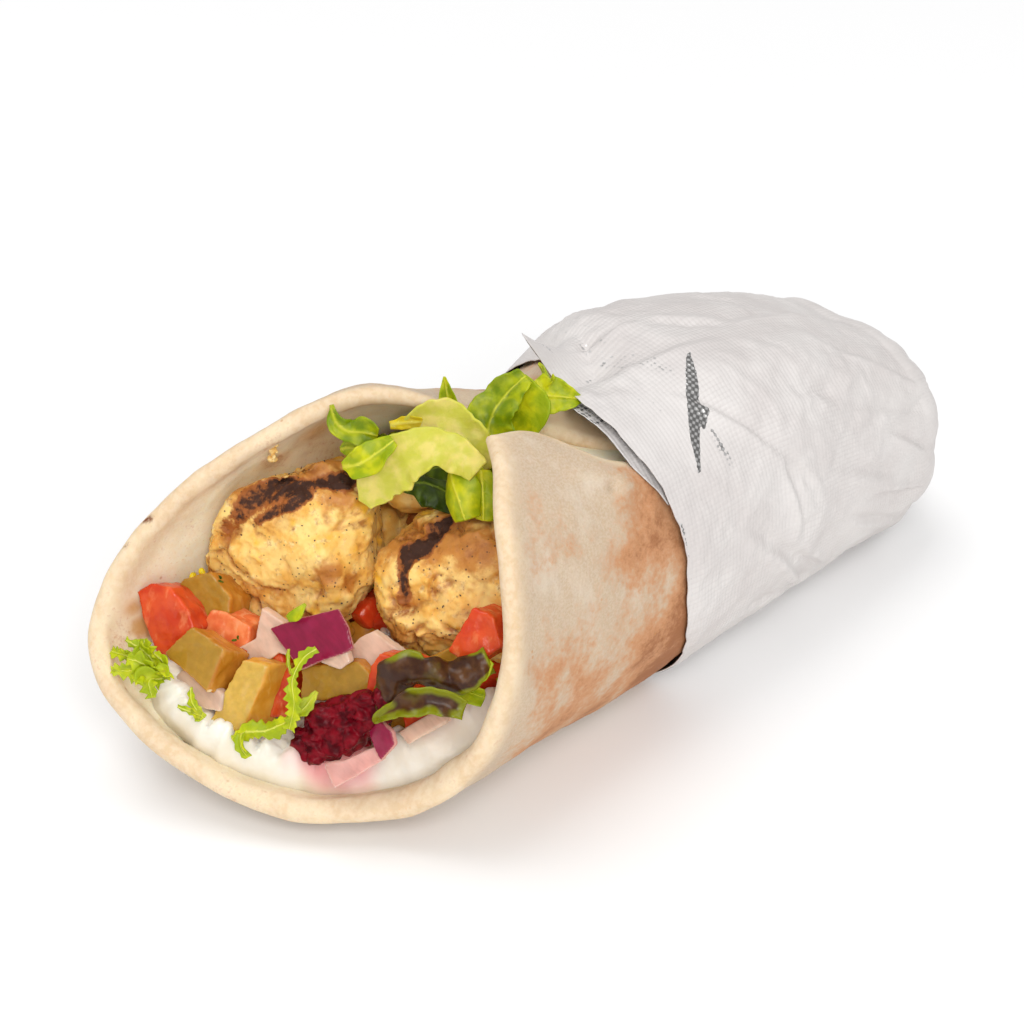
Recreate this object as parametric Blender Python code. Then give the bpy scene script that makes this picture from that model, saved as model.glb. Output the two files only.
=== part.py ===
"""Grilled chicken doner sandwich: a rolled flatbread, its tail in a paper-faced foil, with its fillings.

Lengths are in millimetres and become metres when a mesh is made. The wrap lies along X with its mouth at
-X. A place on the rolled sheet is a station along the wrap and an angle around it: 0 at the bottom,
positive on the near (-Y) side and negative on the far (+Y) side.
"""

import bmesh
import bpy
import numpy as np
from mathutils import Matrix, Vector

MM = 0.001
GAP = 0.35

BREAD_THICKNESS = 4.2
LAP_LIFT = 2.3
SLUMP = 3.0
FLAT_SINK = 0.8
UNDER_FOIL_LIFT = 1.0
UPPER_POWER = 2.25
LOWER_POWER = 1.97
TAIL_STATION = 205.0

# The rounded section of the roll, as (station, value).
HALF_WIDTH = ((0, 45.5), (40, 45.2), (80, 41.5), (120, 39.3), (160, 37.3), (200, 33), (230, 29))
TOP_HEIGHT = ((0, 78), (25, 85), (50, 87), (72, 85), (95, 80), (120, 78.5), (140, 78.5), (160, 75),
              (190, 63.5), (210, 53), (230, 45))
BOTTOM_HEIGHT = ((0, 16), (15, 8), (32, 2), (50, -FLAT_SINK), (230, -FLAT_SINK))

# Rims of the round flatbread as (share of the rim, station, angle).
FAR_RIM = ((0, 13, -90), (0.12, 31, -118), (0.26, 60, -148), (0.4, 92, -174), (0.5, 106, -200),
           (0.6, 116, -222), (0.72, 140, -235), (1, TAIL_STATION, -235))
NEAR_RIM = ((0, 40, 45), (0.15, 53.5, 90), (0.3, 63, 135), (0.42, 79, 167), (0.5, 90, 164),
            (0.62, 103, 145), (0.75, 130, 138), (1, TAIL_STATION, 140))
LIP_RIM = ((0, 13, -90), (0.3, 4.5, -55), (0.55, 8, -22), (0.75, 17, 3), (1, 40, 45))
TAIL_RIM = ((0, TAIL_STATION, -235), (1, TAIL_STATION, 140))
BREAD_ACROSS = 19
BREAD_ALONG = 13

FOIL_THICKNESS = 0.5
# The wrapper's front edge, as (angle, station).
FOIL_EDGE = ((-180, 112), (-165, 117), (-150, 121), (-110, 122), (-60, 120), (0, 119), (45, 117.5),
             (65, 116), (90, 113), (110, 112), (123, 110), (137, 108), (153, 106), (169, 106), (180, 112))
FOIL_TAIL = 206.0
FOIL_END = 226.0
FOIL_AROUND = 30
CORNER_ANGLE = -168.0
CORNER_LIFT = 7.5
CORNER_REACH = 10.0

SAUCE_THICKNESS = 5.0
SAUCE_WELL = 4.0
SAUCE_CLEARANCE = 0.8
SAUCE_SIDES = (-72.0, 84.0)
SAUCE_FEATHER = 34.0
SAUCE_ROUNDING = 3.5
SAUCE_FRONT = ((-72, 29), (-55, 21), (-35, 19), (-20, 23), (0, 29), (20, 37), (45, 50), (65, 60), (84, 70))
FILLING_END = 198.0

# The fillings that run through: how high each reaches, and how far behind the mouth it starts.
SALAD_TOP = 33.0
CHICKEN_TOP = 58.0
LETTUCE_TOP = 71.0
LAYER_PARTING = 2.0
SALAD_DEPTH = 26.0
CHICKEN_DEPTH = 44.0
LETTUCE_DEPTH = 40.0
LAYER_WAVE = 0.6
LAYER_HEIGHT_BASE = 80.0
WALL_CLEARANCE = 0.6
LEVEL_LIMIT = 0.97
MIDDLE_STATION = 130.0

# The mouth of the wrap: a tilted plane with its own across, up and outward directions.
MOUTH_MIDDLE = np.array((34.0, 0.0, 42.0))
MOUTH_OUT = np.array((-0.785, -0.40, 0.474))
MOUTH_ACROSS = np.array((0.442, -0.897, -0.024))

# Pieces that show in the mouth: name, (across, up, out) of the middle, (width, height, depth), turn, tilt.
TOMATO_DICE = (
    ("tomato_wedge", (-33, -4, -8), (12.5, 15, 10), 14, 10),
    ("tomato_side", (-24.5, -3, -17), (12, 10, 9), -8, 15),
    ("tomato_cube", (-9, -12, -14), (10, 15, 10), 8, 20),
    ("tomato_middle", (17.5, -3, -14), (11, 12, 9), -12, 15),
    ("tomato_right", (34, 10.5, -15), (10, 13, 9), -20, 10),
    ("tomato_strip", (24, -10, -22), (8, 6, 7), 25, 5),
)
PICKLE_DICE = (
    ("pickle_back", (-29.5, 5, -18), (13, 11, 8), -10, 10),
    ("pickle_left", (-26, -11.5, -7.5), (13.5, 12, 8), -20, 15),
    ("pickle_front", (-14.5, -16, -8), (14, 15, 9), 28, 10),
    ("pickle_middle", (5.5, -7.5, -14), (15.5, 9, 9), -3, 10),
    ("pickle_small", (25, 3, -21), (7, 5, 6), 15, 10),
)
ONION_PIECES = (
    ("onion_purple", (-2, 1, -11), (19, 12, 5), -4, 12),
    ("onion_pale_left", (-16, -4, -9), (11, 12, 2.4), -30, -15),
    ("onion_pale_middle", (10, -1, -17), (13, 12, 2.6), 20, 5),
    ("onion_sliver", (4.5, -2, -8), (6, 5, 1.8), -35, 20),
    ("onion_low", (-24, -18, -5), (12, 6.5, 2.4), -24, -10),
    ("onion_sauce", (14, -22.5, -5), (13, 9, 2.4), 20, -38),
    ("onion_beet", (20.5, -15.5, -3), (5, 9, 2.2), 12, 15),
    ("onion_right", (25, -13, -15), (10, 8, 2.4), -30, -20),
)
CHICKEN_PIECES = (
    ("chicken_left", (-16, 19, -24), (42, 44, 33), 12, 0),
    ("chicken_right", (24, 16, -27), (40, 38, 34), 20, 0),
    ("chicken_back", (-9, 41, -36), (17, 12, 14), 25, 0),
    ("chicken_middle", (6, 34, -38), (14, 10, 12), 10, 0),
)
CHICKEN_DETAIL = (3, 3, 2, 2)
# Two onions lie on the sauce, and these five lie on top, so the other pieces give way to them.
SAUCE_ONIONS = {"onion_low", "onion_sauce"}
FIRST_ONIONS = ("onion_purple", "onion_low", "onion_sauce", "onion_beet", "onion_sliver")
BEET_RELISH = ("beet_relish", (9, -17.5, -7.5), (24, 15, 11), 12, 0)
# Leaves: name, middle, (length, width, bow), turn, tilt, twist.
LEAVES = (
    ("frisee_left", (-36, -11.5, -1), (17, 12, 2), 25, 10, 10),
    ("frisee_strand", (0.5, -9.5, -2.5), (23, 4, 3), 75, 0, 20),
    ("frisee_base", (-7, -24, -9), (12, 6, 2), 20, -30, 0),
    ("frisee_tip", (-24, -22, -8), (7, 5, 1), -30, -20, 0),
    ("lollo_leaf", (28, 0.5, -11), (25, 13, 5), 32, 0, 25),
    ("green_curl", (37, -2, -10), (7, 5, 2), 10, 10, 0),
    ("green_bit", (38.5, 5, -6), (5, 4, 1), 80, 0, 0),
    ("lettuce_curl", (-3, 49, -15), (12, 9, 3), -30, 10, 20),
    ("lettuce_small", (-2, 43, -19), (10, 7, 2), -10, 0, 0),
    ("lettuce_light", (4, 40, -15), (15, 8, 3), 35, 5, 0),
    ("lettuce_rib", (16, 43, -17), (28, 11, 4), 36, 0, -10),
    ("lettuce_back", (17, 48, -26), (22, 13, 3), 30, 0, 10),
    ("lettuce_tip", (17, 57, -27), (14, 8, 2), 70, 0, 10),
    ("lettuce_large", (27, 54, -30), (16, 14, 3), 60, -10, 0),
    ("lettuce_dark", (18, 36, -27), (21, 10, 3), -8, 0, 0),
    ("lettuce_bright", (24, 40, -22), (13, 11, 4), -40, 10, 0),
    ("lettuce_yellow", (7, 52, -23), (8, 6, 1), 20, 0, 0),
)
LEAF_THICKNESS = 1.0
SETTLE_ROUNDS = 40
SETTLE_STEP = 0.35
SETTLE_LIMIT = 4.5
OUTWARD_CHOICE = 1.0
EDGE_LEAF_STATIONS = (86.0, 109.0)
EDGE_LEAF_ANGLES = (164.0, 186.0)


BREAD_COLOUR = (0.78, 0.62, 0.43)
FOIL_COLOUR = (0.74, 0.70, 0.68)
SAUCE_COLOUR = (0.88, 0.84, 0.76)
SALAD_COLOUR = (0.6, 0.35, 0.15)
CHICKEN_COLOUR = (0.75, 0.5, 0.2)
LEAF_COLOUR = (0.3, 0.45, 0.08)
TOMATO_COLOUR = (0.66, 0.11, 0.05)
PICKLE_COLOUR = (0.36, 0.25, 0.05)
ONION_COLOUR = (0.75, 0.5, 0.5)
BEET_COLOUR = (0.2, 0.005, 0.02)


# ---------------------------------------------------------------- numbers

def curve(at, table):
    """Smooth curve through a table of rows (place, value, ...)."""
    rows = np.array(table, float)
    places, values = rows[:, 0], rows[:, 1:]
    steps = np.diff(places)
    slopes = np.diff(values, axis=0) / steps[:, None]
    ends = np.empty_like(values)
    ends[0], ends[-1] = slopes[0], slopes[-1]
    before, after = steps[:-1, None], steps[1:, None]
    ends[1:-1] = (slopes[:-1] * after + slopes[1:] * before) / (before + after)
    at = np.clip(np.asarray(at, float), places[0], places[-1])
    i = np.clip(np.searchsorted(places, at, side="right") - 1, 0, len(places) - 2)
    step = steps[i][..., None]
    t = ((at - places[i]) / steps[i])[..., None]
    found = (
        (2 * t**3 - 3 * t**2 + 1) * values[i]
        + (t**3 - 2 * t**2 + t) * step * ends[i]
        + (3 * t**2 - 2 * t**3) * values[i + 1]
        + (t**3 - t**2) * step * ends[i + 1]
    )
    return found if values.shape[1] > 1 else found[..., 0]


def ease(value, start, stop):
    t = np.clip((np.asarray(value, float) - start) / (stop - start), 0, 1)
    return t * t * (3 - 2 * t)


def section(station, angle, offset):
    """A point of the roll's rounded section, moved outward by the offset."""
    station = np.asarray(station, float)
    half = curve(station, HALF_WIDTH) + offset
    top = curve(station, TOP_HEIGHT) + offset
    bottom = curve(station, BOTTOM_HEIGHT) - offset
    turn = np.radians(angle)
    power = 2 / np.where(np.cos(turn) > 0, LOWER_POWER, UPPER_POWER)
    sideways = np.sign(np.sin(turn)) * np.abs(np.sin(turn)) ** power
    down = np.sign(np.cos(turn)) * np.abs(np.cos(turn)) ** power
    y = -half * sideways
    z = (top + bottom) / 2 - (top - bottom) / 2 * down
    return np.stack([station + 0 * y, y, z], -1)


def slump(station, angle):
    """The far flap sinks where nothing holds it up, between the mouth and the foil."""
    far_side = ease(-np.asarray(angle, float), 90, 140) + ease(angle, 168, 178)
    return -SLUMP * far_side * ease(station, 66, 92) * (1 - ease(station, 116, 140))


def lap(station, angle):
    """The near flap rides over the far one: outward on the near side, inward on the far side."""
    over = ease(angle, 92, 140)
    under = ease(angle, -140, -182)
    return LAP_LIFT * (over - under) + slump(station, np.minimum(angle, 150))


def far_wall(station, angle):
    """The innermost offset of the bread at an angle of a closed section, with either flap inside."""
    return -LAP_LIFT * ease(np.abs(angle), 96, 140) + slump(station, -np.abs(angle))


def sauce_depth(station, angle):
    """The sauce is deepest at the front, where it wells up."""
    low, high = SAUCE_SIDES
    deep = SAUCE_THICKNESS + SAUCE_WELL * (1 - ease(station, 40, 75))
    return deep * np.minimum(ease(angle, low, low + SAUCE_FEATHER), ease(angle, high, high - SAUCE_FEATHER))


# ---------------------------------------------------------------- meshes

def look(name, colour, roughness):
    material = bpy.data.materials.new(name)
    material.use_nodes = True
    shader = material.node_tree.nodes["Principled BSDF"]
    shader.inputs["Base Color"].default_value = (*colour, 1)
    shader.inputs["Roughness"].default_value = roughness
    return material


def add_object(name, points, faces, colour, roughness):
    mesh = bpy.data.meshes.new(name)
    mesh.from_pydata([tuple(p) for p in np.asarray(points, float) * MM], [], [tuple(f) for f in faces])
    obj = bpy.data.objects.new(name, mesh)
    bpy.context.scene.collection.objects.link(obj)
    whole = bmesh.new()
    whole.from_mesh(mesh)
    bmesh.ops.triangulate(whole, faces=whole.faces[:])
    bmesh.ops.recalc_face_normals(whole, faces=whole.faces[:])
    if whole.calc_volume(signed=True) < 0:
        bmesh.ops.reverse_faces(whole, faces=whole.faces[:])
    whole.to_mesh(mesh)
    whole.free()
    mesh.materials.append(look(name, colour, roughness))
    return obj


def sheet_mesh(outer, inner):
    """A closed sheet from two grids that share their border."""
    rows, columns = outer.shape[:2]
    points = list(outer.reshape(-1, 3))
    upper = np.arange(rows * columns).reshape(rows, columns)
    lower = upper.copy()
    for i in range(1, rows - 1):
        for j in range(1, columns - 1):
            lower[i, j] = len(points)
            points.append(inner[i, j])
    faces = []
    for grid, turned in ((upper, False), (lower, True)):
        for i in range(rows - 1):
            for j in range(columns - 1):
                face = [grid[i, j], grid[i, j + 1], grid[i + 1, j + 1], grid[i + 1, j]]
                faces.append(face[::-1] if turned else face)
    return points, faces


def ring_mesh(rings, first_pole, last_pole):
    """A closed body from rings of points, each end drawn in to a pole."""
    count = len(rings[0])
    points = [p for ring in rings for p in ring]
    faces = []
    for i in range(len(rings) - 1):
        for j in range(count):
            k = (j + 1) % count
            faces.append([i * count + j, i * count + k, (i + 1) * count + k, (i + 1) * count + j])
    for ring, pole in ((0, first_pole), (len(rings) - 1, last_pole)):
        tip = len(points)
        points.append(pole)
        for j in range(count):
            k = (j + 1) % count
            faces.append([ring * count + j, ring * count + k, tip])
    return points, faces


def from_rim(grid):
    """Distance of every point of a grid from the grid's border."""
    border = np.concatenate([grid[0], grid[-1], grid[:, 0], grid[:, -1]])
    ends = np.concatenate([grid[0, 1:], grid[0, -1:], grid[-1, 1:], grid[-1, -1:],
                           grid[1:, 0], grid[-1:, 0], grid[1:, -1], grid[-1:, -1]])
    along = ends - border
    length = np.maximum((along**2).sum(-1), 1e-9)
    away = grid[:, :, None] - border
    t = np.clip((away * along).sum(-1) / length, 0, 1)
    return np.sqrt(((away - t[..., None] * along) ** 2).sum(-1)).min(-1)


# ---------------------------------------------------------------- bread, foil and sauce

def bread_place(across, along):
    """Station and angle of a point of the sheet, blended from its four rims."""
    u, v = across[..., None], along[..., None]
    far, near = curve(along, FAR_RIM), curve(along, NEAR_RIM)
    lip, tail = curve(across, LIP_RIM), curve(across, TAIL_RIM)
    corners = [np.array(rim[end][1:], float) for rim in (FAR_RIM, NEAR_RIM) for end in (0, -1)]
    far_side = (1 - v) * corners[0] + v * corners[1]
    near_side = (1 - v) * corners[2] + v * corners[3]
    mixed = (1 - u) * far_side + u * near_side
    return (1 - v) * lip + v * tail + (1 - u) * far + u * near - mixed


def make_flatbread():
    edge = np.array((0, 0.0028, 0.0075, 0.016))
    across = np.concatenate([edge, np.linspace(0.05, 0.95, BREAD_ACROSS), 1 - edge[::-1]])
    along = np.concatenate([edge * 1.3, 0.05 + 0.93 * np.linspace(0, 1, BREAD_ALONG) ** 1.15, [1.0]])
    u, v = np.meshgrid(across, along)
    place = bread_place(u, v)
    station, angle = place[..., 0], place[..., 1]
    radius = BREAD_THICKNESS / 2
    rise = lap(station, angle)
    middle = section(station, angle, rise - radius)
    inward = np.clip(from_rim(middle) / radius, 0, 1)
    half = radius * np.sqrt(1 - (1 - inward) ** 2)
    outer = section(station, angle, rise - radius + half)
    inner = section(station, angle, rise - radius - half)
    outer[..., 2] = np.maximum(outer[..., 2], UNDER_FOIL_LIFT * ease(station, 102, 116))
    points, faces = sheet_mesh(outer, inner)
    return add_object("flatbread", points, faces, BREAD_COLOUR, 0.75)


def foil_offset(station, angle):
    bump = ease(angle, 84, 130) * (1 - ease(angle, 148, 184))
    return 2 * GAP + LAP_LIFT * bump + slump(station, angle)


def foil_ring(share, offset):
    """One ring of the wrapper: share 0 at its front edge, 1 where the tail starts to close."""
    angle = np.linspace(-180, 180, FOIL_AROUND, endpoint=False)
    edge = curve(angle, FOIL_EDGE)
    off_corner = (angle - CORNER_ANGLE + 180) % 360 - 180
    loose = np.exp(-((off_corner / 9) ** 2)) * max(0.0, 1 - 9 * share)
    station = edge - CORNER_REACH * loose + (FOIL_TAIL - edge) * share
    ring = section(station, angle, foil_offset(station, angle) + offset)
    ring[:, 2] += CORNER_LIFT * loose
    ring[:, 2] = np.maximum(ring[:, 2], FOIL_THICKNESS - offset)
    return ring


def tail_ring(share, inset, thickness):
    """Rings that fold the tail shut: the roll draws in to a blunt, slightly flattened end."""
    ring = foil_ring(1.0, thickness)
    middle = ring.mean(axis=0)
    swing = share * np.pi / 2
    shrink = np.cos(swing)
    reach = (FOIL_END - inset - FOIL_TAIL) * np.sin(swing)
    drawn = middle + (ring - middle) * np.array((1, shrink, 0.35 * shrink + 0.65 * shrink**2))
    drawn[:, 0] = FOIL_TAIL + reach
    return drawn


def make_foil_wrapper():
    shares = (0, 0.03, 0.08, 0.18, 0.32, 0.48, 0.65, 0.82, 1)
    folds = (0.3, 0.6, 0.85)
    outer = [foil_ring(share, FOIL_THICKNESS) for share in shares]
    outer += [tail_ring(fold, 0, FOIL_THICKNESS) for fold in folds]
    inner = [foil_ring(share, 0) for share in shares]
    inner += [tail_ring(fold, FOIL_THICKNESS * 2, 0) for fold in folds]
    middle = foil_ring(1.0, 0).mean(axis=0)
    outer_pole = np.array((FOIL_END, middle[1], middle[2]))
    inner_pole = outer_pole - (FOIL_THICKNESS * 2, 0, 0)
    points, faces = ring_mesh(outer[::-1] + inner, outer_pole, inner_pole)
    return add_object("foil_wrapper", points, faces, FOIL_COLOUR, 0.45)


def make_sauce():
    low, high = SAUCE_SIDES
    across = np.array((0, 0.05, 0.16, 0.3, 0.44, 0.58, 0.72, 0.86, 0.95, 1)) * (high - low) + low
    share = np.array((0, 0.012, 0.04, 0.1, 0.2, 0.4, 0.7, 1))
    angle, along = np.meshgrid(across, share)
    front = curve(angle, SAUCE_FRONT)
    station = front + (FILLING_END - front) * along
    resting = section(station, angle, -BREAD_THICKNESS - SAUCE_CLEARANCE)
    edge = np.clip(from_rim(resting) / SAUCE_ROUNDING, 0, 1)
    depth = sauce_depth(station, angle) * np.sqrt(1 - (1 - edge) ** 2)
    upper = section(station, angle, -BREAD_THICKNESS - SAUCE_CLEARANCE - depth)
    points, faces = sheet_mesh(resting, upper)
    return add_object("garlic_sauce", points, faces, SAUCE_COLOUR, 0.3)


# ---------------------------------------------------------------- fillings that run through

def cavity_offset(station, angle):
    return far_wall(station, angle) - BREAD_THICKNESS - SAUCE_CLEARANCE - 3 * GAP - sauce_depth(station, angle)


def make_cavity():
    """Helper: the room inside the roll above the sauce."""
    angle = np.linspace(-180, 180, 40, endpoint=False)
    stations = (-5, 15, 32, 50, 72, 95, 120, 150, 180, FILLING_END + 1)
    rings = []
    for station in stations:
        rings.append(section(np.full_like(angle, station), angle, cavity_offset(station, angle)))
    points, faces = ring_mesh(rings, rings[0].mean(axis=0), rings[-1].mean(axis=0))
    cavity = add_object("cavity", points, faces, (1, 1, 1), 1)
    cavity.hide_render = True
    cavity.display_type = "WIRE"
    return cavity


def mouth_station(y, z, depth):
    """The station that lies at a depth behind the mouth's plane."""
    out = MOUTH_OUT / np.linalg.norm(MOUTH_OUT)
    return MOUTH_MIDDLE[0] + (out[2] * (z - MOUTH_MIDDLE[2]) + out[1] * y + depth) / -out[0]


def layer_side(z, side, depth, share):
    """A point of a layer's side: wall and station depend on each other, so they are found in turns."""
    station = MIDDLE_STATION
    for _ in range(12):
        front = mouth_station(side_wall(station, z, side), z, depth)
        station = front + (FILLING_END - front) * share
    return station, side_wall(station, z, side), squeezed(station, z)


def layer_ridge(z, from_station, side, depth, share):
    """A point on the middle line of a layer's top or underside, which waves a little."""
    front = mouth_station(0, squeezed(from_station, z), depth)
    station = front + (FILLING_END - front) * share
    return station, 0.0, squeezed(station, z) + LAYER_WAVE * np.sin(5.0 * share + side)


def make_layer(name, low, high, depth, colour, roughness):
    """A filling from one height to another, from behind the pieces in the mouth to the tail."""
    levels = np.linspace(low, high, 4)
    rings = []
    for share in np.linspace(0, 1, 7):
        ring = []
        for side, steps in ((1, levels), (-1, levels[::-1])):
            ring += [layer_side(z, side, depth, share) for z in steps]
            ring.append(layer_ridge(steps[-1], ring[-1][0], side, depth, share))
        rings.append(np.array(ring))
    points, faces = ring_mesh(rings, rings[0].mean(axis=0), rings[-1].mean(axis=0))
    return add_object(name, points, faces, colour, roughness)


def squeezed(station, z):
    """Heights follow the roll down as it narrows to the tail."""
    return z * curve(station, TOP_HEIGHT) / LAYER_HEIGHT_BASE


def side_wall(station, z, side):
    """The filling's reach to one side at a height."""
    height = squeezed(station, z)
    half = curve(station, HALF_WIDTH) - BREAD_THICKNESS - 3 * GAP - WALL_CLEARANCE
    top = curve(station, TOP_HEIGHT) - BREAD_THICKNESS - LAP_LIFT - 3 * GAP
    bottom = BREAD_THICKNESS + SAUCE_THICKNESS + 3 * GAP
    level = np.clip((2 * height - top - bottom) / (top - bottom), -LEVEL_LIMIT, LEVEL_LIMIT)
    return side * half * (1 - np.abs(level) ** LOWER_POWER) ** (1 / LOWER_POWER)


# ---------------------------------------------------------------- pieces in the mouth

def mouth_matrix(middle, turn, tilt):
    """Placement in the mouth: turn within its plane, tilt about the across direction."""
    out = Vector(MOUTH_OUT).normalized()
    across = Vector(MOUTH_ACROSS)
    across = (across - across.dot(out) * out).normalized()
    up = out.cross(across)
    base = Matrix((across, up, out)).transposed().to_4x4()
    base.translation = Vector(MOUTH_MIDDLE) + across * middle[0] + up * middle[1] + out * middle[2]
    return base @ Matrix.Rotation(np.radians(turn), 4, "Z") @ Matrix.Rotation(np.radians(tilt), 4, "X")


def placed(points, matrix):
    return [tuple(matrix @ Vector(p)) for p in points]


def make_die(row, uneven, seed, colour, roughness):
    """A cut piece with six uneven faces."""
    name, middle, size, turn, tilt = row
    random = np.random.default_rng(seed)
    corners = []
    for x in (-1, 1):
        for y in (-1, 1):
            for z in (-1, 1):
                pull = 1 + uneven * random.uniform(-1, 0.4, 3)
                corners.append(np.array((x, y, z)) * pull * np.array(size) / 2)
    whole = bmesh.new()
    for corner in corners:
        whole.verts.new(tuple(corner))
    bmesh.ops.convex_hull(whole, input=whole.verts[:])
    whole.verts.index_update()
    points = [tuple(v.co) for v in whole.verts]
    faces = [[v.index for v in f.verts] for f in whole.faces]
    whole.free()
    return add_object(name, placed(points, mouth_matrix(middle, turn, tilt)), faces, colour, roughness)


def make_lump(row, bumps, seed, level, colour, roughness):
    """A rounded, uneven lump."""
    name, middle, size, turn, tilt = row
    random = np.random.default_rng(seed)
    ways = random.normal(size=(7, 3))
    phases = random.uniform(0, 6.28, 7)
    whole = bmesh.new()
    bmesh.ops.create_icosphere(whole, subdivisions=level, radius=1.0)
    points = []
    for vertex in whole.verts:
        way = np.array(vertex.co)
        square = (np.abs(way) ** 2.7).sum() ** (-1 / 2.7)
        swell = 1 + bumps * np.sin(ways @ way * 1.9 + phases).mean() * 2.4
        points.append(way * square * swell * np.array(size) / 2)
    faces = [[v.index for v in f.verts] for f in whole.faces]
    whole.free()
    return add_object(name, placed(points, mouth_matrix(middle, turn, tilt)), faces, colour, roughness)


def make_leaf(row, seed, colour, roughness):
    """A thin, bowed and twisted leaf with a waved edge."""
    name, middle, (length, width, bow), turn, tilt, twist = row
    random = np.random.default_rng(seed)
    rows = 4
    columns = max(4, int(length / 3.2))
    y_step, x_step = np.meshgrid(np.linspace(-1, 1, rows), np.linspace(-1, 1, columns), indexing="ij")
    taper = np.sqrt(np.clip(1 - 0.72 * np.abs(x_step) ** 2.6, 0.05, 1))
    phase = random.uniform(0, 6.28, 3)
    wave = 0.35 * np.abs(y_step) * np.sin(5 * x_step + phase[0])
    wave += 0.2 * y_step * np.sin(9 * x_step + phase[1])
    x = x_step * length / 2
    y = y_step * taper * width / 2
    z = bow * (0.6 - x_step**2 * 0.7 + 0.5 * y_step**2) + wave * min(bow, 2.5)
    swing = np.radians(twist) * x_step
    z = z * np.cos(swing) + y * np.sin(swing)
    y = y * np.cos(swing)
    inside = np.minimum(1 - np.abs(x_step), 1 - np.abs(y_step)) > 0.01
    half = np.where(inside, LEAF_THICKNESS / 2, 0)
    matrix = mouth_matrix(middle, turn, tilt)
    grids = []
    for side in (1, -1):
        flat = np.stack([x, y, z + side * half], -1).reshape(-1, 3)
        grids.append(np.array(placed(flat, matrix)).reshape(rows, columns, 3))
    points, faces = sheet_mesh(*grids)
    return add_object(name, points, faces, colour, roughness)


def make_edge_leaf():
    """The leaf that climbs out of the top of the mouth and lies over the rim of the foil."""
    stations = np.linspace(*EDGE_LEAF_STATIONS, 9)
    angles = np.linspace(*EDGE_LEAF_ANGLES, 6)
    angle, station = np.meshgrid(angles, stations)
    share = (station - stations[0]) / (stations[-1] - stations[0])
    ripple = 0.6 * np.sin(station * 0.55) * np.cos(angle * 0.12)
    lift = -11.0 + 9.5 * ease(share, 0, 0.5) + 2.5 * share + ripple
    across = (angle - angles[0]) / (angles[-1] - angles[0])
    inside = (share > 0.01) & (share < 0.99) & (across > 0.01) & (across < 0.99)
    half = np.where(inside, LEAF_THICKNESS / 2, 0)
    outer = section(station, angle, lift + half)
    inner = section(station, angle, lift - half)
    points, faces = sheet_mesh(outer, inner)
    return add_object("lettuce_edge", points, faces, LEAF_COLOUR, 0.45)


# ---------------------------------------------------------------- clearances

def bounds_of(obj):
    corners = np.array([v.co for v in obj.data.vertices])
    return corners.min(axis=0) - GAP * MM * 2, corners.max(axis=0) + GAP * MM * 2


def near_each_other(first, second):
    low_a, high_a = bounds_of(first)
    low_b, high_b = bounds_of(second)
    return bool((low_a < high_b).all() and (low_b < high_a).all())


def swollen(obj, whole_shape):
    """A copy that is larger all round by the gap that neighbours keep, its hollows filled if it's small."""
    copy = obj.copy()
    copy.data = obj.data.copy()
    copy.name = "cutter"
    copy.hide_render = True
    copy.display_type = "WIRE"
    bpy.context.scene.collection.objects.link(copy)
    whole = bmesh.new()
    if whole_shape:
        whole.from_mesh(copy.data)
    else:
        for corner in copy.data.vertices:
            whole.verts.new(corner.co)
        bmesh.ops.convex_hull(whole, input=whole.verts[:])
        bmesh.ops.delete(whole, geom=[v for v in whole.verts if not v.link_faces], context="VERTS")
        bmesh.ops.recalc_face_normals(whole, faces=whole.faces[:])
    whole.normal_update()
    moves = [(v, v.normal * min(v.calc_shell_factor(), 2.5) * GAP * MM) for v in whole.verts]
    for vertex, move in moves:
        vertex.co += move
    whole.to_mesh(copy.data)
    whole.free()
    return copy


def keep_largest(whole):
    """Leave only the biggest of the separate bodies of a mesh."""
    unseen = set(whole.verts)
    groups = []
    while unseen:
        group = {unseen.pop()}
        edge_of_group = list(group)
        while edge_of_group:
            vertex = edge_of_group.pop()
            for link in vertex.link_edges:
                other = link.other_vert(vertex)
                if other in unseen:
                    unseen.discard(other)
                    group.add(other)
                    edge_of_group.append(other)
        groups.append(group)
    groups.sort(key=lambda g: (reach_of(g), len(g)), reverse=True)
    for group in groups[1:]:
        bmesh.ops.delete(whole, geom=list(group), context="VERTS")


def reach_of(group):
    corners = np.array([v.co for v in group])
    return round(float(np.prod(corners.max(axis=0) - corners.min(axis=0) + 1e-4)), 15)


def carve(obj, operation, cutters):
    """Apply Booleans to the object and keep its largest body."""
    for cutter in cutters:
        modifier = obj.modifiers.new("carve", "BOOLEAN")
        modifier.operation = operation
        modifier.solver = "EXACT"
        modifier.object = cutter
    graph = bpy.context.evaluated_depsgraph_get()
    result = bpy.data.meshes.new_from_object(obj.evaluated_get(graph))
    obj.modifiers.clear()
    whole = bmesh.new()
    whole.from_mesh(result)
    bmesh.ops.remove_doubles(whole, verts=whole.verts[:], dist=1e-7)
    bmesh.ops.triangulate(whole, faces=whole.faces[:])
    keep_largest(whole)
    whole.to_mesh(obj.data)
    whole.free()
    bpy.data.meshes.remove(result)


def corners_and_ways(obj):
    """The corners of an object and the directions its faces look in."""
    corners = np.array([v.co for v in obj.data.vertices])
    ways = np.array([p.normal for p in obj.data.polygons if p.area > 1e-9])
    return corners, ways.reshape(-1, 3)


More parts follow.
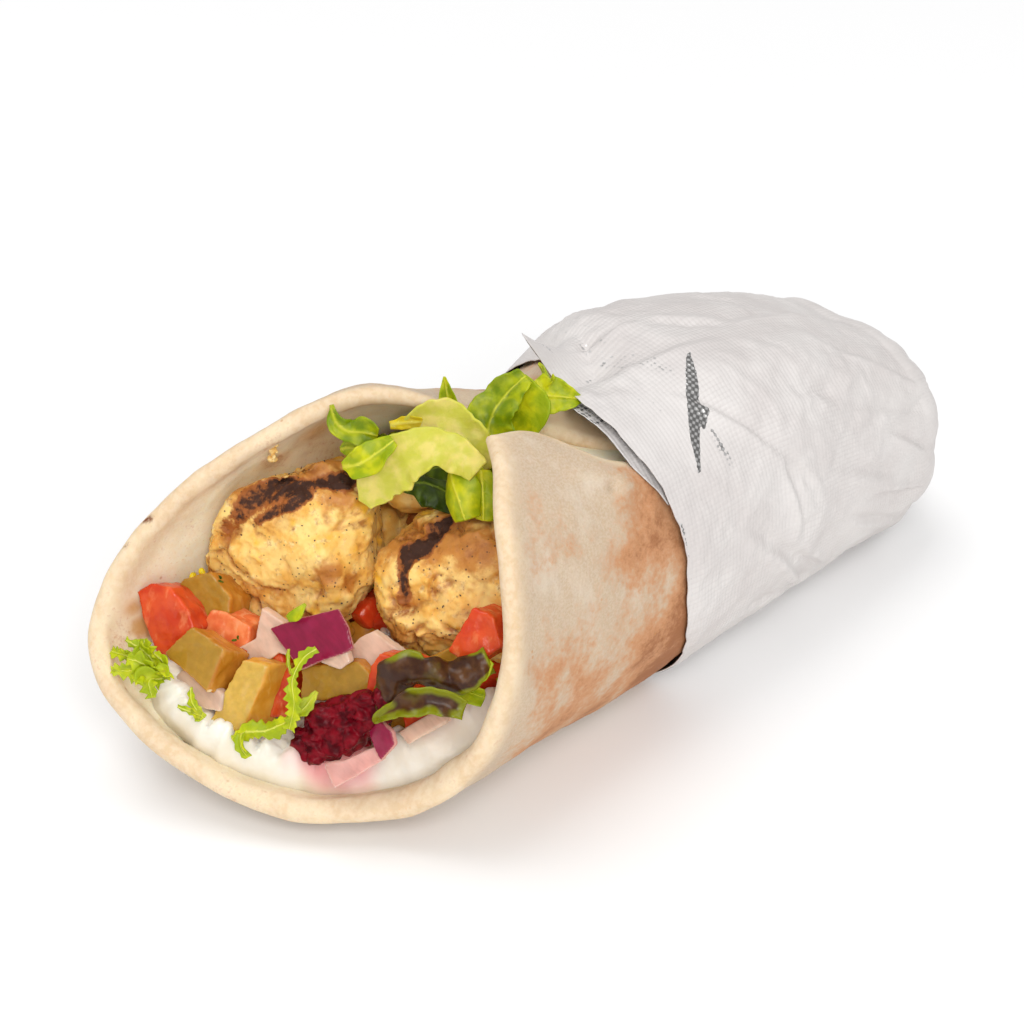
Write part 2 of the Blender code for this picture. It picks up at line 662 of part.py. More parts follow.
def parting(first, second, outward):
    """How deep the second piece sits in the first, and the way out, best along the mouth's axis."""
    corners, ways = second
    others, other_ways = first
    between = corners.mean(axis=0) - others.mean(axis=0) + 1e-9
    ways = np.concatenate([other_ways, -ways, between[None] / np.linalg.norm(between)])
    limit = (ways @ others.T).max(axis=1) + GAP * MM
    depth = limit - (ways @ corners.T).min(axis=1)
    if depth.min() <= 0:
        return 0.0, ways[0], 0.0
    out = MOUTH_OUT / np.linalg.norm(MOUTH_OUT)
    best = int((depth * (1 + outward * (1 - np.abs(ways @ out)))).argmin())
    return depth[best], ways[best], limit[best]


def settle(pieces):
    """Move pieces apart little by little, heavy ones least, so that hardly any has to be cut."""
    shapes = [corners_and_ways(obj) for obj in pieces]
    weight = np.array([np.prod(np.ptp(corners, axis=0) + 0.001) for corners, _ in shapes])
    moved = np.zeros((len(pieces), 3))
    for _ in range(SETTLE_ROUNDS):
        for i in range(len(pieces)):
            for j in range(i + 1, len(pieces)):
                first = (shapes[i][0] + moved[i], shapes[i][1])
                second = (shapes[j][0] + moved[j], shapes[j][1])
                beyond = first[0].min(axis=0) > second[0].max(axis=0)
                before = second[0].min(axis=0) > first[0].max(axis=0)
                if beyond.any() or before.any():
                    continue
                depth, way, _ = parting(first, second, OUTWARD_CHOICE)
                share = weight[i] / (weight[i] + weight[j])
                moved[i] -= way * depth * (1 - share) * SETTLE_STEP
                moved[j] += way * depth * share * SETTLE_STEP
        far = np.linalg.norm(moved, axis=1, keepdims=True) + 1e-9
        moved *= np.minimum(1, SETTLE_LIMIT * MM / far)
    for obj, move in zip(pieces, moved):
        obj.data.transform(Matrix.Translation(Vector(move)))


def press_apart(obj, other):
    """Flatten the object where it would meet a neighbour that is already in place."""
    depth, way, limit = parting(corners_and_ways(other), corners_and_ways(obj), 0)
    if depth <= 0:
        return
    whole = bmesh.new()
    whole.from_mesh(obj.data)
    bmesh.ops.bisect_plane(
        whole, geom=whole.verts[:] + whole.edges[:] + whole.faces[:], dist=1e-7,
        plane_co=Vector(way * limit), plane_no=Vector(way), clear_inner=True,
    )
    bmesh.ops.holes_fill(whole, edges=[e for e in whole.edges if e.is_boundary], sides=0)
    bmesh.ops.triangulate(whole, faces=whole.faces[:])
    bmesh.ops.recalc_face_normals(whole, faces=whole.faces[:])
    keep_largest(whole)
    whole.to_mesh(obj.data)
    whole.free()


def clear_neighbours(pieces, cores, cavity, shells, free):
    """Each piece in turn stays inside the roll, or clear of it if free, and gives way to those before."""
    done = []
    settle(pieces)
    for obj in pieces:
        if obj.name in free:
            give_way(obj, shells, True)
        else:
            carve(obj, "INTERSECT", [cavity])
        for other in done:
            press_apart(obj, other)
        done.append(obj)
    for obj in cores:
        carve(obj, "INTERSECT", [cavity])
        give_way(obj, done, False)
        done.append(obj)


def give_way(obj, others, whole_shape):
    """Cut the swollen shapes of its neighbours out of an object."""
    cutters = [swollen(other, whole_shape) for other in others if near_each_other(other, obj)]
    if cutters:
        carve(obj, "DIFFERENCE", cutters)
    for cutter in cutters:
        bpy.data.objects.remove(cutter)


# ---------------------------------------------------------------- the whole

def clear_scene():
    for obj in list(bpy.data.objects):
        bpy.data.objects.remove(obj)


def make_mouth_pieces():
    dice = [make_die(row, 0.16, 11 + i, TOMATO_COLOUR, 0.3) for i, row in enumerate(TOMATO_DICE)]
    pickles = [make_die(row, 0.12, 31 + i, PICKLE_COLOUR, 0.3) for i, row in enumerate(PICKLE_DICE)]
    onions = [make_die(row, 0.18, 51 + i, ONION_COLOUR, 0.3) for i, row in enumerate(ONION_PIECES)]
    beet = make_lump(BEET_RELISH, 0.10, 71, 2, BEET_COLOUR, 0.25)
    chicken = [
        make_lump(row, 0.07, 81 + i, level, CHICKEN_COLOUR, 0.45)
        for i, (row, level) in enumerate(zip(CHICKEN_PIECES, CHICKEN_DETAIL))
    ]
    leaves = [make_leaf(row, 91 + i, LEAF_COLOUR, 0.45) for i, row in enumerate(LEAVES)]
    first = [onion for onion in onions if onion.name in FIRST_ONIONS]
    later = [onion for onion in onions if onion.name not in FIRST_ONIONS]
    return [*first, beet, *dice, *pickles, *later, *chicken, *leaves]


def make_cores():
    low = BREAD_THICKNESS + SAUCE_THICKNESS + 3 * GAP
    middle = SALAD_TOP + LAYER_PARTING
    high = CHICKEN_TOP + LAYER_PARTING
    salad = make_layer("salad_filling", low, SALAD_TOP, SALAD_DEPTH, SALAD_COLOUR, 0.5)
    chicken = make_layer("chicken_filling", middle, CHICKEN_TOP, CHICKEN_DEPTH, CHICKEN_COLOUR, 0.5)
    lettuce = make_layer("lettuce_filling", high, LETTUCE_TOP, LETTUCE_DEPTH, LEAF_COLOUR, 0.5)
    return [chicken, salad, lettuce]


def centre_on_floor(objects):
    """Move everything so that the box of the whole is centred over the origin and rests on it."""
    corners = np.array([v.co for obj in objects for v in obj.data.vertices])
    low, high = corners.min(axis=0), corners.max(axis=0)
    shift = Vector((-(low[0] + high[0]) / 2, -(low[1] + high[1]) / 2, -low[2]))
    for obj in objects:
        obj.data.transform(Matrix.Translation(shift))


def main():
    clear_scene()
    shells = [make_flatbread(), make_foil_wrapper(), make_sauce()]
    cavity = make_cavity()
    edge_leaf = make_edge_leaf()
    pieces = [edge_leaf, *make_mouth_pieces()]
    cores = make_cores()
    free = {edge_leaf.name} | {row[0] for row in LEAVES} | SAUCE_ONIONS
    clear_neighbours(pieces, cores, cavity, shells, free)
    bpy.data.objects.remove(cavity)
    centre_on_floor(shells + pieces + cores)


main()
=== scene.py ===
"""Grilled chicken doner sandwich: bread, foil, fillings and the pieces that show in its mouth.

Lengths are in millimetres until a mesh is made. The roll lies along X with its mouth at -X. A place on
it is a station along the roll and an angle around it: 0 at the bottom, positive on the near (-Y) side.
"""

from itertools import product

import bmesh
import bpy
import numpy as np
from mathutils import Matrix, Vector


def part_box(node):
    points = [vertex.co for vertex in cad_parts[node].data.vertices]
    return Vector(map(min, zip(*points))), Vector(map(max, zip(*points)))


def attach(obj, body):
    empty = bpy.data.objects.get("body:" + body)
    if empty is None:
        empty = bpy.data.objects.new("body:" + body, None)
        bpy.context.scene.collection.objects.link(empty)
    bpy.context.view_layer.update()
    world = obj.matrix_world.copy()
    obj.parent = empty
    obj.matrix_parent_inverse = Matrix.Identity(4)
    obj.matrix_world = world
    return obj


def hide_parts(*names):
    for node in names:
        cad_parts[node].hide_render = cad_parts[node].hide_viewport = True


MM = 0.001
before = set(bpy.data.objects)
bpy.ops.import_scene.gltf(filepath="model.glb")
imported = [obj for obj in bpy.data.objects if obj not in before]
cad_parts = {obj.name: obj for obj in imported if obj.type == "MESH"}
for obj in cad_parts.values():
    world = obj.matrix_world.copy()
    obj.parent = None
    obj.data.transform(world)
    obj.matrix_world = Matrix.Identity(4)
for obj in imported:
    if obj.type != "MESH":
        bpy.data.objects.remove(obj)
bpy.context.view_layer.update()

# ---------------------------------------------------------------- sizes of the roll

BREAD_THICKNESS = 4.2
LAP_LIFT = 2.3
SLUMP = 3.0
UPPER_POWER = 2.25
LOWER_POWER = 1.97
TAIL_STATION = 205.0
HALF_WIDTH = ((0, 45.5), (40, 45.2), (80, 41.5), (120, 39.3), (160, 37.3), (200, 33), (230, 29))
TOP_HEIGHT = ((0, 78), (25, 85), (50, 87), (72, 85), (95, 80), (120, 78.5), (140, 78.5), (160, 75),
              (190, 63.5), (210, 53), (230, 45))
BOTTOM_HEIGHT = ((0, 16), (15, 8), (32, 2), (50, -0.8), (230, -0.8))
FAR_RIM = ((0, 116, -222), (0.28, 140, -235), (1, 205.0, -235))
NEAR_RIM = ((0, 79, 167), (0.1, 90, 164), (0.22, 103, 145), (0.42, 130, 138), (1, 205.0, 140))
LIP_RIM = ((0, 116, -222), (0.054, 106, -200), (0.121, 92, -174), (0.228, 60, -148), (0.332, 31, -118), (0.41, 13, -90),
           (0.486, 4.5, -55), (0.555, 8, -22), (0.612, 17, 3), (0.722, 40, 45), (0.822, 53.5, 90), (0.92, 63, 135),
           (1, 79, 167))
TAIL_RIM = ((0, TAIL_STATION, -235), (1, TAIL_STATION, 140))
FOIL_EDGE = ((-180, 112), (-165, 120), (-150, 124), (-110, 125), (-60, 121.5), (0, 122), (45, 120),
             (65, 117), (90, 113), (110, 112), (123, 110), (137, 108), (153, 106), (169, 106), (180, 112))
FOIL_TAIL = 206.0
FOIL_END = 226.0
FOIL_LIFT = 0.7
CORNER_ANGLE = -168.0
CORNER_LIFT = 10.3
CORNER_REACH = 10.5
SAUCE_SIDES = (-72.0, 84.0)
SAUCE_FRONT = ((-72, 25), (-55, 15.5), (-43, 13), (-30, 14), (-16, 17), (0, 24), (16, 32), (30, 40), (47, 51), (60, 60),
               (84, 70))
FILLING_END = 198.0

MOUTH_MIDDLE = np.array((34.0, 0.0, 42.0))
MOUTH_OUT = np.array((-0.785, -0.40, 0.474))
MOUTH_ACROSS = np.array((0.442, -0.897, -0.024))
MOUTH_OUT = MOUTH_OUT / np.linalg.norm(MOUTH_OUT)
MOUTH_ACROSS = MOUTH_ACROSS - MOUTH_ACROSS @ MOUTH_OUT * MOUTH_OUT
MOUTH_ACROSS = MOUTH_ACROSS / np.linalg.norm(MOUTH_ACROSS)
MOUTH_UP = np.cross(MOUTH_OUT, MOUTH_ACROSS)

# ---------------------------------------------------------------- camera

CAMERA_TARGET = np.array((104.0, 7.6, 41.8))
CAMERA_AZIMUTH = -43.0
CAMERA_ELEVATION = 35.0
CAMERA_DISTANCE = 630.0
CAMERA_LENS = 94.8


# ---------------------------------------------------------------- numbers

def curve(at, table):
    """Smooth curve through a table of rows (place, value, ...)."""
    rows = np.array(table, float)
    places, values = rows[:, 0], rows[:, 1:]
    steps = np.diff(places)
    slopes = np.diff(values, axis=0) / steps[:, None]
    ends = np.empty_like(values)
    ends[0], ends[-1] = slopes[0], slopes[-1]
    before, after = steps[:-1, None], steps[1:, None]
    ends[1:-1] = (slopes[:-1] * after + slopes[1:] * before) / (before + after)
    at = np.clip(np.asarray(at, float), places[0], places[-1])
    i = np.clip(np.searchsorted(places, at, side="right") - 1, 0, len(places) - 2)
    step = steps[i][..., None]
    t = ((at - places[i]) / steps[i])[..., None]
    found = (
        (2 * t**3 - 3 * t**2 + 1) * values[i]
        + (t**3 - 2 * t**2 + t) * step * ends[i]
        + (3 * t**2 - 2 * t**3) * values[i + 1]
        + (t**3 - t**2) * step * ends[i + 1]
    )
    return found if values.shape[1] > 1 else found[..., 0]


def ease(value, start, stop):
    t = np.clip((np.asarray(value, float) - start) / (stop - start), 0, 1)
    return t * t * (3 - 2 * t)


def scrambled(cells, seed):
    """A repeatable whole number for each lattice cell."""
    x, y, z = (cells[..., i].astype(np.uint64) for i in range(3))
    mixed = x * np.uint64(374761393) + y * np.uint64(668265263) + z * np.uint64(2246822519)
    mixed = (mixed + np.uint64(seed * 3266489917 + 977)) & np.uint64(0xFFFFFFFF)
    mixed = ((mixed ^ (mixed >> np.uint64(15))) * np.uint64(2654435761)) & np.uint64(0xFFFFFFFF)
    mixed = ((mixed ^ (mixed >> np.uint64(13))) * np.uint64(1597334677)) & np.uint64(0xFFFFFFFF)
    return mixed ^ (mixed >> np.uint64(16))


def three_parts(number):
    """Three numbers from -1 to 1 out of each scrambled one."""
    parts = [(number >> np.uint64(10 * i)) & np.uint64(1023) for i in range(3)]
    return np.stack(parts, -1).astype(float) / 511.5 - 1


def noise(points, size, seed=0):
    """Smooth noise from about -1 to 1, with bumps of about the given size."""
    at = np.asarray(points, float) / size + 1000.0
    cell = np.floor(at).astype(np.int64)
    part = at - cell
    fade = part**3 * (part * (part * 6 - 15) + 10)
    total = np.zeros(at.shape[:-1])
    for corner in product((0, 1), repeat=3):
        step = np.array(corner)
        slope = three_parts(scrambled(cell + step, seed))
        weight = np.where(step == 1, fade, 1 - fade).prod(-1)
        total += weight * ((part - step) * slope).sum(-1)
    return total * 1.5


def layered(points, size, octaves, seed=0, fall=0.5):
    """Noise with finer noise added to it."""
    return sum(fall**i * noise(points, size / 2**i, seed + 17 * i) for i in range(octaves))


def ridged(points, size, octaves, seed=0):
    """Sharp ridges, up to 1, with finer ridges on them."""
    return sum(0.5**i * (1 - 2 * np.abs(noise(points, size / 2**i, seed + 31 * i))) for i in range(octaves))


def cells_of(points, size, seed=0):
    """Distance to the nearest and second nearest scattered point, and the nearest one's number."""
    at = np.asarray(points, float) / size + 1000.0
    cell = np.floor(at).astype(np.int64)
    near = np.full(at.shape[:-1], 9.0)
    second = near.copy()
    which = np.zeros(at.shape[:-1])
    for corner in product((-1, 0, 1), repeat=3):
        number = scrambled(cell + np.array(corner), seed)
        spot = cell + np.array(corner) + 0.5 + 0.45 * three_parts(number)
        away = np.sqrt(((at - spot) ** 2).sum(-1))
        closer = away < near
        second = np.where(closer, near, np.minimum(second, away))
        which = np.where(closer, (number % np.uint64(997)).astype(float) / 997, which)
        near = np.minimum(near, away)
    return near, second, which


# ---------------------------------------------------------------- the roll's form

def section(station, angle, offset):
    """A point of the roll's rounded section, moved outward by the offset."""
    station = np.asarray(station, float)
    half = curve(station, HALF_WIDTH) + offset
    top = curve(station, TOP_HEIGHT) + offset
    bottom = curve(station, BOTTOM_HEIGHT) - offset
    turn = np.radians(angle)
    power = 2 / np.where(np.cos(turn) > 0, LOWER_POWER, UPPER_POWER)
    sideways = np.sign(np.sin(turn)) * np.abs(np.sin(turn)) ** power
    down = np.sign(np.cos(turn)) * np.abs(np.cos(turn)) ** power
    return np.stack([station + 0 * sideways, -half * sideways, (top + bottom) / 2 - (top - bottom) / 2 * down], -1)


def slump(station, angle):
    far_side = ease(-np.asarray(angle, float), 90, 140) + ease(angle, 168, 178)
    sunk = SLUMP * far_side * ease(station, 66, 92) * (1 - ease(station, 116, 140))
    off_ridge = (angle + 330) % 360 - 180
    ridge = 4.0 * np.exp(-(((station - 76) / 20) ** 2)) - 4.8 * np.exp(-(((station - 117) / 12) ** 2))
    return ridge * np.exp(-((off_ridge / 26) ** 2)) - sunk


def lap(station, angle):
    over, under = ease(angle, 92, 140), ease(angle, -140, -182)
    return LAP_LIFT * (over - under) + slump(station, np.minimum(angle, 150))


def foil_offset(station, angle):
    bump = ease(angle, 84, 130) * (1 - ease(angle, 148, 184))
    return FOIL_LIFT + LAP_LIFT * bump + slump(station, angle)


def bread_place(u, v):
    """Station and angle of a point of the sheet, blended from its four rims."""
    far, near = curve(v, FAR_RIM), curve(v, NEAR_RIM)
    lip, tail = curve(u, LIP_RIM), curve(u, TAIL_RIM)
    corners = [np.array(rim[end][1:], float) for rim in (FAR_RIM, NEAR_RIM) for end in (0, -1)]
    u, v = u[..., None], v[..., None]
    far_side = (1 - v) * corners[0] + v * corners[1]
    near_side = (1 - v) * corners[2] + v * corners[3]
    return (1 - v) * lip + v * tail + (1 - u) * far + u * near - (1 - u) * far_side - u * near_side


def from_rim(grid):
    """Distance of every point of a grid from the grid's border."""
    border = np.concatenate([grid[0], grid[-1], grid[:, 0], grid[:, -1]])
    ends = np.concatenate([grid[0, 1:], grid[0, -1:], grid[-1, 1:], grid[-1, -1:],
                           grid[1:, 0], grid[-1:, 0], grid[1:, -1], grid[-1:, -1]])
    along = ends - border
    length = np.maximum((along**2).sum(-1), 1e-9)
    found = []
    for row in grid:
        away = row[:, None] - border
        t = np.clip((away * along).sum(-1) / length, 0, 1)
        found.append(np.sqrt(((away - t[..., None] * along) ** 2).sum(-1)).min(-1))
    return np.array(found)


def mouth(across, up, out):
    """A point or points given in the mouth's own directions."""
    return (MOUTH_MIDDLE + np.multiply.outer(np.asarray(across, float), MOUTH_ACROSS)
            + np.multiply.outer(np.asarray(up, float), MOUTH_UP)
            + np.multiply.outer(np.asarray(out, float), MOUTH_OUT))


def find_shift():
    """How far the roll's own coordinates lie from the row's, in millimetres, from the frame."""
    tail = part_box("foil_wrapper")[1][0] / MM
    far_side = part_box("flatbread")[1][1] / MM
    stations = np.linspace(13, 60, 95)
    widest = section(stations, np.full_like(stations, -90.0), 0.0)[:, 1].max()
    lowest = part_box("foil_wrapper")[0][2] / MM
    return np.array((tail - FOIL_END, far_side - widest, lowest))


SHIFT = find_shift()


def centre_of(node):
    """The middle of a CAD node in the roll's coordinates."""
    low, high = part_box(node)
    return np.array((low + high) / 2) / MM - SHIFT


# ---------------------------------------------------------------- meshes

def grid_faces(rows, columns, closed=False):
    """Quads of a grid of points; closed joins its last column to its first."""
    index = np.arange(rows * columns).reshape(rows, columns)
    if closed:
        index = np.concatenate([index, index[:, :1]], axis=1)
    return np.stack([index[:-1, :-1], index[:-1, 1:], index[1:, 1:], index[1:, :-1]], -1).reshape(-1, 4)


def sheet(outer, inner):
    """A closed sheet from two grids that share their border: points, quads and which side each point is on."""
    rows, columns = outer.shape[:2]
    lower = np.arange(rows * columns).reshape(rows, columns)
    count = (rows - 2) * (columns - 2)
    lower[1:-1, 1:-1] = rows * columns + np.arange(count).reshape(rows - 2, columns - 2)
    points = np.concatenate([outer.reshape(-1, 3), inner[1:-1, 1:-1].reshape(-1, 3)])
    under = np.stack([lower[:-1, :-1], lower[1:, :-1], lower[1:, 1:], lower[:-1, 1:]], -1).reshape(-1, 4)
    return points, np.concatenate([grid_faces(rows, columns), under])


def both_sides(outer, inner):
    """Values of the two grids of a sheet in the order of its points."""
    return np.concatenate([outer.reshape(-1), inner[1:-1, 1:-1].reshape(-1)])


def short_split(points, faces):
    """Quads cut into triangles along their shorter diagonal, for grids whose lines cross at a slant."""
    a, b, c, d = faces.T
    first = np.linalg.norm(points[a] - points[c], axis=1) <= np.linalg.norm(points[b] - points[d], axis=1)
    one = np.where(first[:, None], np.stack([a, b, c], 1), np.stack([a, b, d], 1))
    two = np.where(first[:, None], np.stack([a, c, d], 1), np.stack([b, c, d], 1))
    return np.concatenate([one, two])


def make_piece(name, points, faces, material, nodes=(), values=None):
    """A smooth mesh piece that rides on the row's one body and stands for its CAD nodes."""
    mesh = bpy.data.meshes.new(name)
    faces = np.asarray(faces)
    mesh.vertices.add(len(points))
    mesh.vertices.foreach_set("co", ((np.asarray(points) + SHIFT) * MM).astype(np.float32).ravel())
    mesh.loops.add(faces.size)
    mesh.loops.foreach_set("vertex_index", faces.ravel().astype(np.int32))
    mesh.polygons.add(len(faces))
    mesh.polygons.foreach_set("loop_start", np.arange(len(faces), dtype=np.int32) * faces.shape[1])
    mesh.update(calc_edges=True)
    mesh.validate()
    obj = bpy.data.objects.new(name, mesh)
    bpy.context.scene.collection.objects.link(obj)
    return dress(obj, material, nodes, values)


def dress(obj, material, nodes=(), values=None):
    """Give a mesh its masks, material, slot and place in the frame."""
    for key, value in (values or {}).items():
        attribute = obj.data.attributes.new(key, "FLOAT", "POINT")
        attribute.data.foreach_set("value", np.asarray(value, np.float32).ravel())
    obj.data.polygons.foreach_set("use_smooth", [True] * len(obj.data.polygons))
    obj.data.materials.clear()
    obj.data.materials.append(material)
    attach(obj, "root")
    if nodes:
        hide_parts(*nodes)
    return obj


def points_of(mesh):
    """Vertices of a mesh in the roll's coordinates."""
    flat = np.empty(len(mesh.vertices) * 3)
    mesh.vertices.foreach_get("co", flat)
    return flat.reshape(-1, 3) / MM - SHIFT


def normals_of(mesh):
    flat = np.empty(len(mesh.vertices) * 3)
    mesh.vertices.foreach_get("normal", flat)
    return flat.reshape(-1, 3)


def move_points(mesh, points):
    mesh.vertices.foreach_set("co", ((points + SHIFT) * MM).astype(np.float32).ravel())
    mesh.update()


def remeshed(name, sources, voxel, smoothing=0, softness=0.5):
    """One even, rounded mesh over copies of the source meshes (already in row metres)."""
    whole = bmesh.new()
    for source in sources:
        whole.from_mesh(source)
    mesh = bpy.data.meshes.new(name)
    whole.to_mesh(mesh)
    whole.free()
    obj = bpy.data.objects.new(name, mesh)
    bpy.context.scene.collection.objects.link(obj)
    remesh = obj.modifiers.new("remesh", "REMESH")
    remesh.mode = "VOXEL"
    remesh.voxel_size = voxel * MM
    if smoothing:
        smooth = obj.modifiers.new("smooth", "SMOOTH")
        smooth.factor = softness
        smooth.iterations = smoothing
    graph = bpy.context.evaluated_depsgraph_get()
    obj.data = bpy.data.meshes.new_from_object(obj.evaluated_get(graph))
    obj.modifiers.clear()
    bpy.data.meshes.remove(mesh)
    obj.data.name = name
    return obj


# ---------------------------------------------------------------- materials

class Look:
    """A short way to write a procedural material around one Principled shader."""

    def __init__(self, name, roughness, **constants):
        self.material = bpy.data.materials.new(name)
        self.material.use_nodes = True
        self.tree = self.material.node_tree
        self.shader = self.tree.nodes["Principled BSDF"]
        self.shader.inputs["Roughness"].default_value = roughness
        for key, value in constants.items():
            self.shader.inputs[key.replace("_", " ")].default_value = value

    def node(self, kind, **settings):
        made = self.tree.nodes.new("ShaderNode" + kind)
        for key, value in settings.items():
            setattr(made, key, value)
        return made

    def link(self, source, target):
        if hasattr(source, "is_output"):
            self.tree.links.new(source, target)
        elif hasattr(target.default_value, "__len__") and not hasattr(source, "__len__"):
            target.default_value = [source] * len(target.default_value)
        elif hasattr(source, "__len__") and len(source) == 3 and len(target.default_value) == 4:
            target.default_value = (*source, 1)
        else:
            target.default_value = source

    def mask(self, name):
        return self.node("Attribute", attribute_name=name).outputs["Fac"]

    def place(self, stretch=(1, 1, 1)):
        """Object coordinates in millimetres, stretched along an axis."""
        spread = self.node("VectorMath", operation="MULTIPLY")
        self.link(self.node("TexCoord").outputs["Object"], spread.inputs[0])
        self.link(tuple(1000.0 / s for s in stretch), spread.inputs[1])
        return spread.outputs[0]

    def noise(self, size, detail=3.0, stretch=(1, 1, 1), roughness=0.55):
        made = self.node("TexNoise")
        self.link(self.place(stretch), made.inputs["Vector"])
        self.link(1.0 / size, made.inputs["Scale"])
        self.link(detail, made.inputs["Detail"])
        self.link(roughness, made.inputs["Roughness"])
        return made.outputs["Fac"]

    def cells(self, size, feature="F1"):
        made = self.node("TexVoronoi", feature=feature)
        self.link(self.place(), made.inputs["Vector"])
        self.link(1.0 / size, made.inputs["Scale"])
        return made.outputs["Distance"]

    def between(self, value, low, high):
        """0 below low, 1 above high, smooth between; turned round when low is above high."""
        made = self.node("MapRange", interpolation_type="SMOOTHSTEP")
        self.link(value, made.inputs["Value"])
        swapped = low > high
        self.link(min(low, high), made.inputs["From Min"])
        self.link(max(low, high), made.inputs["From Max"])
        self.link(1.0 if swapped else 0.0, made.inputs["To Min"])
        self.link(0.0 if swapped else 1.0, made.inputs["To Max"])
        return made.outputs["Result"]

    def math(self, operation, first, second=0.0):
        made = self.node("Math", operation=operation)
        self.link(first, made.inputs[0])
        self.link(second, made.inputs[1])
        return made.outputs[0]

    def times(self, first, second):
        return self.math("MULTIPLY", first, second)

    def plus(self, first, second):
        return self.math("ADD", first, second)

    def mix(self, share, first, second):
        made = self.node("Mix", data_type="RGBA")
        self.link(share, made.inputs["Factor"])
        self.link(first, made.inputs["A"])
        self.link(second, made.inputs["B"])
        return made.outputs["Result"]

    def colour(self, value):
        self.link(value, self.shader.inputs["Base Color"])

    def set(self, key, value):
        self.link(value, self.shader.inputs[key])

    def bump(self, height, depth, strength=1.0):
        """Relief of the given depth in millimetres."""
        made = self.node("Bump")
        self.link(strength, made.inputs["Strength"])
        self.link(depth * MM, made.inputs["Distance"])
        self.link(height, made.inputs["Height"])
        previous = self.shader.inputs["Normal"].links
        if previous:
            self.link(previous[0].from_socket, made.inputs["Normal"])
        self.link(made.outputs["Normal"], self.shader.inputs["Normal"])


def soft(weight, radius, scale):
    """Settings for light that spreads under a moist surface."""
    return {"Subsurface_Weight": weight, "Subsurface_Radius": radius, "Subsurface_Scale": scale * MM}


def bread_look():
    look = Look("bread", 0.78, Specular_IOR_Level=0.3, **soft(0.22, (1.0, 0.55, 0.3), 1.4))
    grain = look.noise(0.55, 3)
    fine = look.noise(1.5, 4)
    soft_patch = look.noise(11, 4, stretch=(1.0, 1.0, 1.6))
    cream = look.mix(look.between(fine, 0.35, 0.65), (0.73, 0.54, 0.335), (0.79, 0.62, 0.43))
    # The inner face gets a lighter colour than the rim: painted light for the shaded inside of the roll.
    within = look.mix(look.between(fine, 0.35, 0.65), (0.96, 0.86, 0.62), (0.97, 0.91, 0.71))
    cream = look.mix(look.mask("deep"), cream, within)
    cream = look.mix(look.times(look.between(grain, 0.58, 0.75), 0.5), cream, (0.76, 0.47, 0.20))
    cream = look.mix(look.times(look.between(soft_patch, 0.40, 0.66), 0.5), cream, (0.92, 0.79, 0.56))
    pale = look.mix(look.between(grain, 0.3, 0.7), (0.55, 0.41, 0.28), (0.62, 0.495, 0.365))
    flour = look.between(look.noise(9, 4, stretch=(1, 1, 4.5)), 0.50, 0.68)
    pale = look.mix(look.times(flour, 0.4), pale, (0.74, 0.65, 0.53))
    skin = look.mix(look.mask("outside"), cream, pale)
    broken = look.plus(look.mask("toast"), look.times(look.plus(fine, -0.5), 0.8))
    broken = look.plus(broken, look.times(look.plus(soft_patch, -0.5), 1.5))
    broken = look.plus(broken, look.times(look.plus(grain, -0.5), 0.5))
    skin = look.mix(look.times(look.between(broken, 0.10, 0.70), 0.9), skin, (0.56, 0.26, 0.115))
    skin = look.mix(look.times(look.between(broken, 0.58, 1.2), 0.85), skin, (0.30, 0.11, 0.04))
    golden = look.plus(look.mask("golden"), look.times(look.plus(fine, -0.5), 0.35))
    skin = look.mix(look.times(look.between(golden, 0.12, 0.95), 0.9), skin, (0.66, 0.33, 0.09))
    freckle = look.times(look.between(look.cells(4.6), 0.12, 0.04), look.between(look.noise(9, 1), 0.5, 0.6))
    skin = look.mix(look.times(freckle, 0.55), skin, (0.55, 0.24, 0.08))
    char = look.plus(look.mask("char"), look.times(look.plus(grain, -0.5), 0.6))
    look.colour(look.mix(look.between(char, 0.3, 0.9), skin, (0.20, 0.065, 0.022)))
    look.bump(look.noise(2.4, 4), 0.16, 0.6)
    look.bump(grain, 0.07, 0.6)
    return look.material


def foil_look():
    """Paper laid on embossed foil: fine square ribs, and bare metal where the paper is rubbed away."""
    look = Look("paper_foil", 0.5, Specular_IOR_Level=0.4)
    patch = look.noise(22, 3)
    paper = look.mix(look.between(patch, 0.35, 0.65), (0.64, 0.598, 0.58), (0.705, 0.67, 0.65))
    ribs = [look.math("SINE", look.times(look.mask(key), 2 * np.pi / EMBOSS_PITCH)) for key in ("round", "along")]
    mesh = look.times(look.plus(ribs[0], ribs[1]), 0.5)
    # Painted shade: the paper is darker along one set of emboss lines, in patches.
    where = look.between(look.noise(30, 2), 0.42, 0.60)
    paper = look.mix(look.times(look.between(ribs[0], 0.2, 1.0), look.times(where, 0.35)), paper, (0.60, 0.555, 0.54))
    broken = look.plus(look.mask("silver"), look.times(mesh, 0.14))
    broken = look.plus(broken, look.times(look.plus(look.noise(2.2, 3), -0.5), 0.75))
    show = look.between(broken, 0.56, 0.66)
    # The bare metal's colour follows the emboss, dark in its grooves and light on its ribs: painted shade and painted
    # glints.
    dark = look.mix(look.between(mesh, -0.3, 0.8), (0.22, 0.215, 0.21), (0.70, 0.69, 0.68))
    look.colour(look.mix(show, paper, dark))
    look.set("Metallic", look.times(show, 0.9))
    look.set("Roughness", look.math("SUBTRACT", 0.52, look.times(show, 0.22)))
    look.bump(mesh, 0.16, 0.35)
    look.bump(look.noise(5, 3), 0.3, 0.4)
    return look.material


def sauce_look():
    look = Look("garlic_sauce", 0.3, Specular_IOR_Level=0.45, **soft(0.25, (1.0, 0.9, 0.7), 1.2))
    white = look.mix(look.between(look.noise(6, 3), 0.35, 0.65), (0.86, 0.80, 0.67), (0.90, 0.86, 0.76))
    look.colour(look.mix(look.mask("stain"), white, (0.85, 0.20, 0.22)))
    look.bump(look.noise(1.2, 3), 0.16, 0.5)
    return look.material


